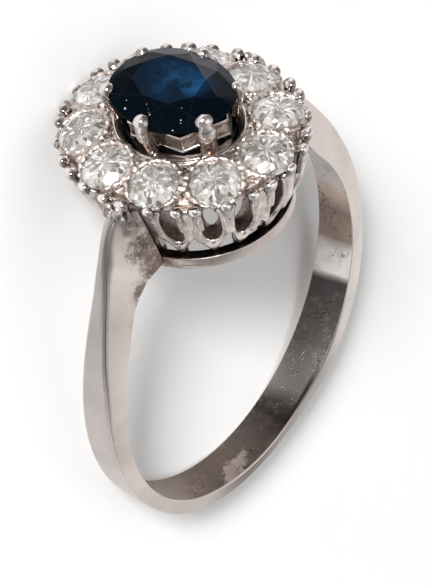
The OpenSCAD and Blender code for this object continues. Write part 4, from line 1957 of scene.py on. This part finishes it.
@dataclass(frozen=True)
class Solder(Part):
    """The lumps of solder that join the shoulders' tips to the coronet."""

    # Middle and radius of each lump on the near left: [u, v, w, radius]
    lumps: tuple = (
        (0.52, -4.88, 10.3, 0.2), (0.3, -4.95, 10.42, 0.28), (-0.08, -4.95, 10.5, 0.24),
        (0.4, -4.86, 10.72, 0.2), (-0.1, -4.86, 10.76, 0.18),
    )
    # Rounding where two lumps meet, depth of the ripples and the grid's step
    melt: float = 0.12
    uneven: float = 0.02
    step: float = 0.055

    def side_mesh(self, side: float) -> Mesh:
        """Melts the lumps of one shoulder together.

        Args:
            side: 1 for the shoulder on the left of the picture, -1 for the other one.

        Returns:
            The lumps as one mesh.
        """
        rows = np.array(self.lumps) * (1.0, side, 1.0, 1.0)
        low = rows[:, :3].min(0) - 0.5
        high = rows[:, :3].max(0) + 0.5
        axes = [np.arange(a, b, self.step) for a, b in zip(low, high)]
        u, v, w = np.meshgrid(*axes, indexing="ij")
        solid = None
        for mid_u, mid_v, mid_w, radius in rows:
            ball = radius - np.sqrt((u - mid_u) ** 2 + (v - mid_v) ** 2 + (w - mid_w) ** 2)
            solid = ball if solid is None else -least(-solid, -ball, self.melt)
        solid = solid + self.uneven * np.sin(19 * u + 3 * w) * np.sin(17 * w - 5 * v)
        points, faces = surface_net(solid)
        return mesh_of("solder", low + points * self.step, faces)

    def build(self) -> None:
        """Builds both shoulders' solder."""
        for name, side in (("solder_left", 1.0), ("solder_right", -1.0)):
            mesh = self.side_mesh(side)
            face_outwards(mesh)
            dress(mesh, name, self.finishes.solder, sharp=70.0)


@dataclass(frozen=True)
class Cut:
    """A brilliant's cut: table, stars, kites, a thin girdle and a pointed back, eightfold."""

    # Stored on each face: a painted shade for its facet, which is the painted sheen on the sapphire
    SHADE: ClassVar[str] = "facet_shade"
    TABLE: ClassVar[str] = "table_part"
    NUMBER: ClassVar[str] = "stone_number"
    half: Oval = Oval(1.1, 1.1)
    girdle: float = 0.044
    crown: float = 0.325
    back: float = 0.948
    table_share: float = 0.57
    star_share: float = 0.79
    lower_share: float = 0.24
    first_turn: float = 0.0
    square: float = 2.0
    fold: int = 8
    arc: int = 3
    # Numbers of the halves over the girdle, of those under it and of the girdle's own facets
    upper: int = 30
    lower: int = 50
    edge: int = 70
    # Share by which the painted shade steps from one facet's number to the next
    shade_step: float = 0.618

    def ring(self, count: int, first: float, share: float, height: float) -> list[tuple]:
        """Returns points on the oval made smaller, at a height over the girdle.

        Args:
            count: Number of points.
            first: Where the first one lies, in steps.
            share: Size against the girdle.
            height: Height over the girdle's lower edge.

        Returns:
            The points in ring millimetres.
        """
        points = []
        for k in range(count):
            turn = math.radians(self.first_turn) + 2 * math.pi * (k + first) / count
            x, y = math.cos(turn), math.sin(turn)
            reach = share * (abs(x) ** self.square + abs(y) ** self.square) ** (-1 / self.square)
            points.append((self.half.along * reach * x, self.half.across * reach * y, height))
        return points

    def mesh(self, name: str, number: int = 0) -> Mesh:
        """Makes the stone. Its kites are flat, because their side corners lie on them.

        Args:
            name: The mesh's name.
            number: The stone's number, which the mesh stores.

        Returns:
            The stone, with its girdle's lower edge at height 0.
        """
        n = self.fold
        corner = math.cos(math.pi / n)
        star_high = self.girdle + self.crown * (1 - self.star_share * corner) / (1 - self.table_share)
        lower_low = -self.back * (1 - self.lower_share * corner)
        rings = [
            self.ring(n, 0, self.table_share, self.girdle + self.crown),
            self.ring(n, 0.5, self.star_share, star_high),
            self.ring(2 * n * self.arc, 0, 1.0, self.girdle),
            self.ring(2 * n * self.arc, 0, 1.0, 0.0),
            self.ring(n, 0.5, self.lower_share, lower_low),
            [(0.0, 0.0, -self.back)],
        ]
        starts = np.cumsum([0] + [len(r) for r in rings])

        def at(ring: int, k: int) -> int:
            """Number of a ring's point, counted round."""
            return int(starts[ring]) + k % len(rings[ring])

        faces = [tuple(at(0, k) for k in range(n))]
        facets = [0]
        for k in range(n):
            girdle = 2 * k * self.arc
            faces.append((at(0, k), at(1, k), at(0, k + 1)))
            faces.append((at(0, k), at(1, k - 1), at(2, girdle), at(1, k)))
            faces.append((at(5, 0), at(4, k - 1), at(3, girdle), at(4, k)))
            facets += [3 * k + 1, 3 * k + 2, 3 * k + 3]
            for j in range(girdle, girdle + 2 * self.arc):
                faces.append((at(1, k), at(2, j), at(2, j + 1)))
                faces.append((at(4, k), at(3, j + 1), at(3, j)))
                faces.append((at(2, j), at(3, j), at(3, j + 1), at(2, j + 1)))
                half = j // self.arc
                facets += [self.upper + half, self.lower + half, self.edge]
        mesh = mesh_of(name, sum(rings, []), faces)
        face_outwards(mesh)
        plane = mesh.uv_layers.new(name="across_stone")
        for loop, place in zip(mesh.loops, plane.data):
            x, y, _ = mesh.vertices[loop.vertex_index].co
            place.uv = (x / self.half.along, y / self.half.across)
        painted_tones = [(facet * self.shade_step) % 1 for facet in facets]
        table = [float(facet == 0) for facet in facets]
        numbers = [float(number)] * len(mesh.vertices)
        for stored, domain, values in (
            (self.SHADE, "FACE", painted_tones), (self.TABLE, "FACE", table), (self.NUMBER, "POINT", numbers)
        ):
            mesh.attributes.new(stored, "FLOAT", domain).data.foreach_set("value", values)
        return mesh


@dataclass(frozen=True)
class Stones(Part):
    """The sapphire and the ten diamonds, cut again here with a painted shade for each facet."""

    sapphire: Cut = Cut(
        Oval(2.84, 2.24), girdle=0.09, crown=0.6, back=1.87, first_turn=-8.0, square=2.2
    )
    sapphire_h: float = 12.9
    sapphire_turn: float = -8.0
    # Side whose crown facets get a painted pale sheen, and how pale: at most, its falling off, least and
    # further share
    sheen_from: tuple[float, float] = (-0.25, 0.97)
    sheen: float = 0.5
    sheen_power: float = 1.3
    sheen_rows: tuple[float, float] = (0.35, 0.95)
    # Width of the crown's edges, painted lighter as highlights, and the angle in degrees past which facets
    # have one
    facet_edge: float = 0.007
    edge_angle: float = 5.0
    # Turn of the diamonds' facets, in degrees for each stone's number
    diamond_turn: float = 31.0

    def sapphire_mesh(self) -> Mesh:
        """Cuts the sapphire, with a painted pale sheen on the crown facets at its back and thin crown edges
        that are painted lighter as highlights.

        Returns:
            The stone, with its girdle's lower edge at height 0.
        """
        mesh = self.sapphire.mesh("sapphire_cut")
        least_share, further = self.sheen_rows
        for face, shade in zip(mesh.polygons, mesh.attributes[Cut.SHADE].data):
            across = face.normal.x * self.sheen_from[0] + face.normal.y * self.sheen_from[1]
            crown = face.center.z > self.sapphire.girdle and face.normal.z < 0.99
            slant = math.hypot(face.normal.x, face.normal.y)
            back = max(0.0, across / max(slant, 0.01)) if crown else 0.0
            pale = self.sheen * back**self.sheen_power
            shade.value = pale * (least_share + further * shade.value)
        work = bmesh.new()
        work.from_mesh(mesh)
        edges = [
            e for e in work.edges
            if min(p.co.z for p in e.verts) > 0.5 * self.sapphire.girdle
            and e.calc_face_angle(0.0) > math.radians(self.edge_angle)
        ]
        bmesh.ops.bevel(
            work, geom=edges, offset=self.facet_edge, segments=1, profile=0.5, affect="EDGES", material=1
        )
        work.to_mesh(mesh)
        work.free()
        return mesh

    def build(self) -> None:
        """Builds the stones."""
        blue = self.sapphire_mesh()
        blue.transform(Matrix.Rotation(math.radians(self.sapphire_turn), 4, "Z"))
        blue.transform(Matrix.Translation((0, 0, self.sapphire_h)))
        dress(
            blue, "sapphire_cut", self.finishes.sapphire, self.finishes.facet_edge,
            sharp=self.edge_angle - 0.5, slot=Slot.SAPPHIRE, replaced="sapphire",
        )
        plate = SeatPlate(self.finishes)
        for number in range(1, DIAMONDS + 1):
            turn = HEAD_STEP * (number - 1)
            name = f"brilliant_{number:02d}"
            stone = Cut(first_turn=self.diamond_turn * number).mesh(name, number)
            seat = Matrix.Translation((*plate.stones.spot(turn), plate.girdle_h))
            seat = seat @ Matrix.Rotation(plate.stones.outward(turn), 4, "Z")
            stone.transform(seat @ Matrix.Rotation(math.radians(plate.lean), 4, "Y"))
            dress(
                stone, name, self.finishes.diamond, sharp=self.edge_angle, slot=Slot.DIAMOND,
                replaced=f"diamond_{number:02d}",
            )


@dataclass(frozen=True)
class Studio:
    """Pale floor, soft lights, camera and surroundings."""

    # The camera's own axes in ring axes, how far it stands off and what it aims beside the ring
    right: Triple = (0.8024, 0.5724, -0.1688)
    up: Triple = (-0.3325, 0.6637, 0.6700)
    back: Triple = (0.4955, -0.4815, 0.7229)
    distance_mm: float = 104.7
    lens_mm: float = 147.0
    sensor_mm: float = 36.0
    aim_right_mm: float = -0.46
    aim_up_mm: float = 0.665
    # Direction of the key light, in row axes. Of each light: distance and side in metres, and watts
    key: Triple = (-0.45, 0.76, 0.469)
    key_sizes: Triple = (1.4, 0.37, 25.5)
    top_sizes: Triple = (0.7, 0.6, 1.0)
    floor_half: float = 1.5

    def build_camera(self) -> None:
        """Sets the camera at the photo's angle, with a lens and distance fitted to the ring."""
        right, up, back = (RING.direction(*v) for v in (self.right, self.up, self.back))
        start = RING.centre + back * self.distance_mm * MM
        target = RING.centre + (right * self.aim_right_mm + up * self.aim_up_mm) * MM
        view = (start - target).normalized()
        side = up.cross(view).normalized()
        turn = Matrix((side, view.cross(side), view)).transposed()
        data = bpy.data.cameras.new("camera")
        data.lens = self.lens_mm
        data.sensor_width = self.sensor_mm
        data.clip_start = 0.005
        data.clip_end = 10.0
        camera = new_object("camera", data)
        camera.matrix_world = Matrix.Translation(start) @ turn.to_4x4()
        bpy.context.scene.camera = camera

    def build_lights(self) -> None:
        """Adds the key light, up and left of the camera, and a large light overhead."""
        for name, towards, (away, size, power) in (
            ("key_light", self.key, self.key_sizes), ("top_light", (0.0, 0.0, 1.0), self.top_sizes)
        ):
            data = bpy.data.lights.new(name, "AREA")
            data.size = size
            data.energy = power
            place = Vector(towards) * away
            turn = place.to_track_quat("Z", "Y").to_matrix().to_4x4()
            new_object(name, data).matrix_world = Matrix.Translation(place) @ turn

    def build_world(self) -> None:
        """Makes plain pale surroundings, which are darker at the sides in reflections."""
        world = bpy.data.worlds.new("surroundings")
        world.use_nodes = True
        tree = world.node_tree
        tree.nodes.clear()
        place = tree.nodes.new("ShaderNodeTexCoord")
        side, front, height = separated(place.outputs["Generated"])
        panel = (side * 0.5 - front * 0.8 + height * 0.3).rise(0.35, 0.95, 0.62)
        rays = add_node(tree, "ShaderNodeLightPath", {}).outputs
        camera, mirror, glass, soft = (
            Formula(rays[f"Is {kind} Ray"])
            for kind in ("Camera", "Glossy", "Transmission", "Diffuse")
        )
        strength = camera + mirror * (panel + 0.32) + glass * 0.95 + soft * 0.38
        shader = add_node(
            tree, "ShaderNodeBackground", {"Color": (1.0, 0.99, 0.98, 1.0), "Strength": strength}
        )
        output = tree.nodes.new("ShaderNodeOutputWorld")
        tree.links.new(shader.outputs[0], output.inputs[0])
        bpy.context.scene.world = world

    def build_floor(self) -> None:
        """Lays a wide pale floor."""
        half = self.floor_half
        corners = [(-half, -half, 0), (half, -half, 0), (half, half, 0), (-half, half, 0)]
        floor = new_object("floor", mesh_of("floor", corners, [(0, 1, 2, 3)]))
        paint = Paint("pale_floor")
        speck = paint.noise(0.2)
        paint.colour = paint.mix(speck, grey(0.9), grey(0.88))
        floor.data.materials.append(paint.finish(Roughness=0.9))

    def build(self) -> None:
        """Builds the whole studio."""
        self.build_camera()
        self.build_lights()
        self.build_world()
        self.build_floor()
        bpy.context.scene.view_settings.view_transform = "Standard"


def main() -> None:
    """Builds the ring and its studio."""
    logging.basicConfig(level=logging.INFO, format="%(name)s %(message)s")
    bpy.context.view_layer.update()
    finishes = Finishes()
    for part in (Rail, Coronet, SeatPlate, Claws, Band, Solder, Stones):
        part(finishes).build()
    Studio().build()


if __name__ == "__main__":
    main()
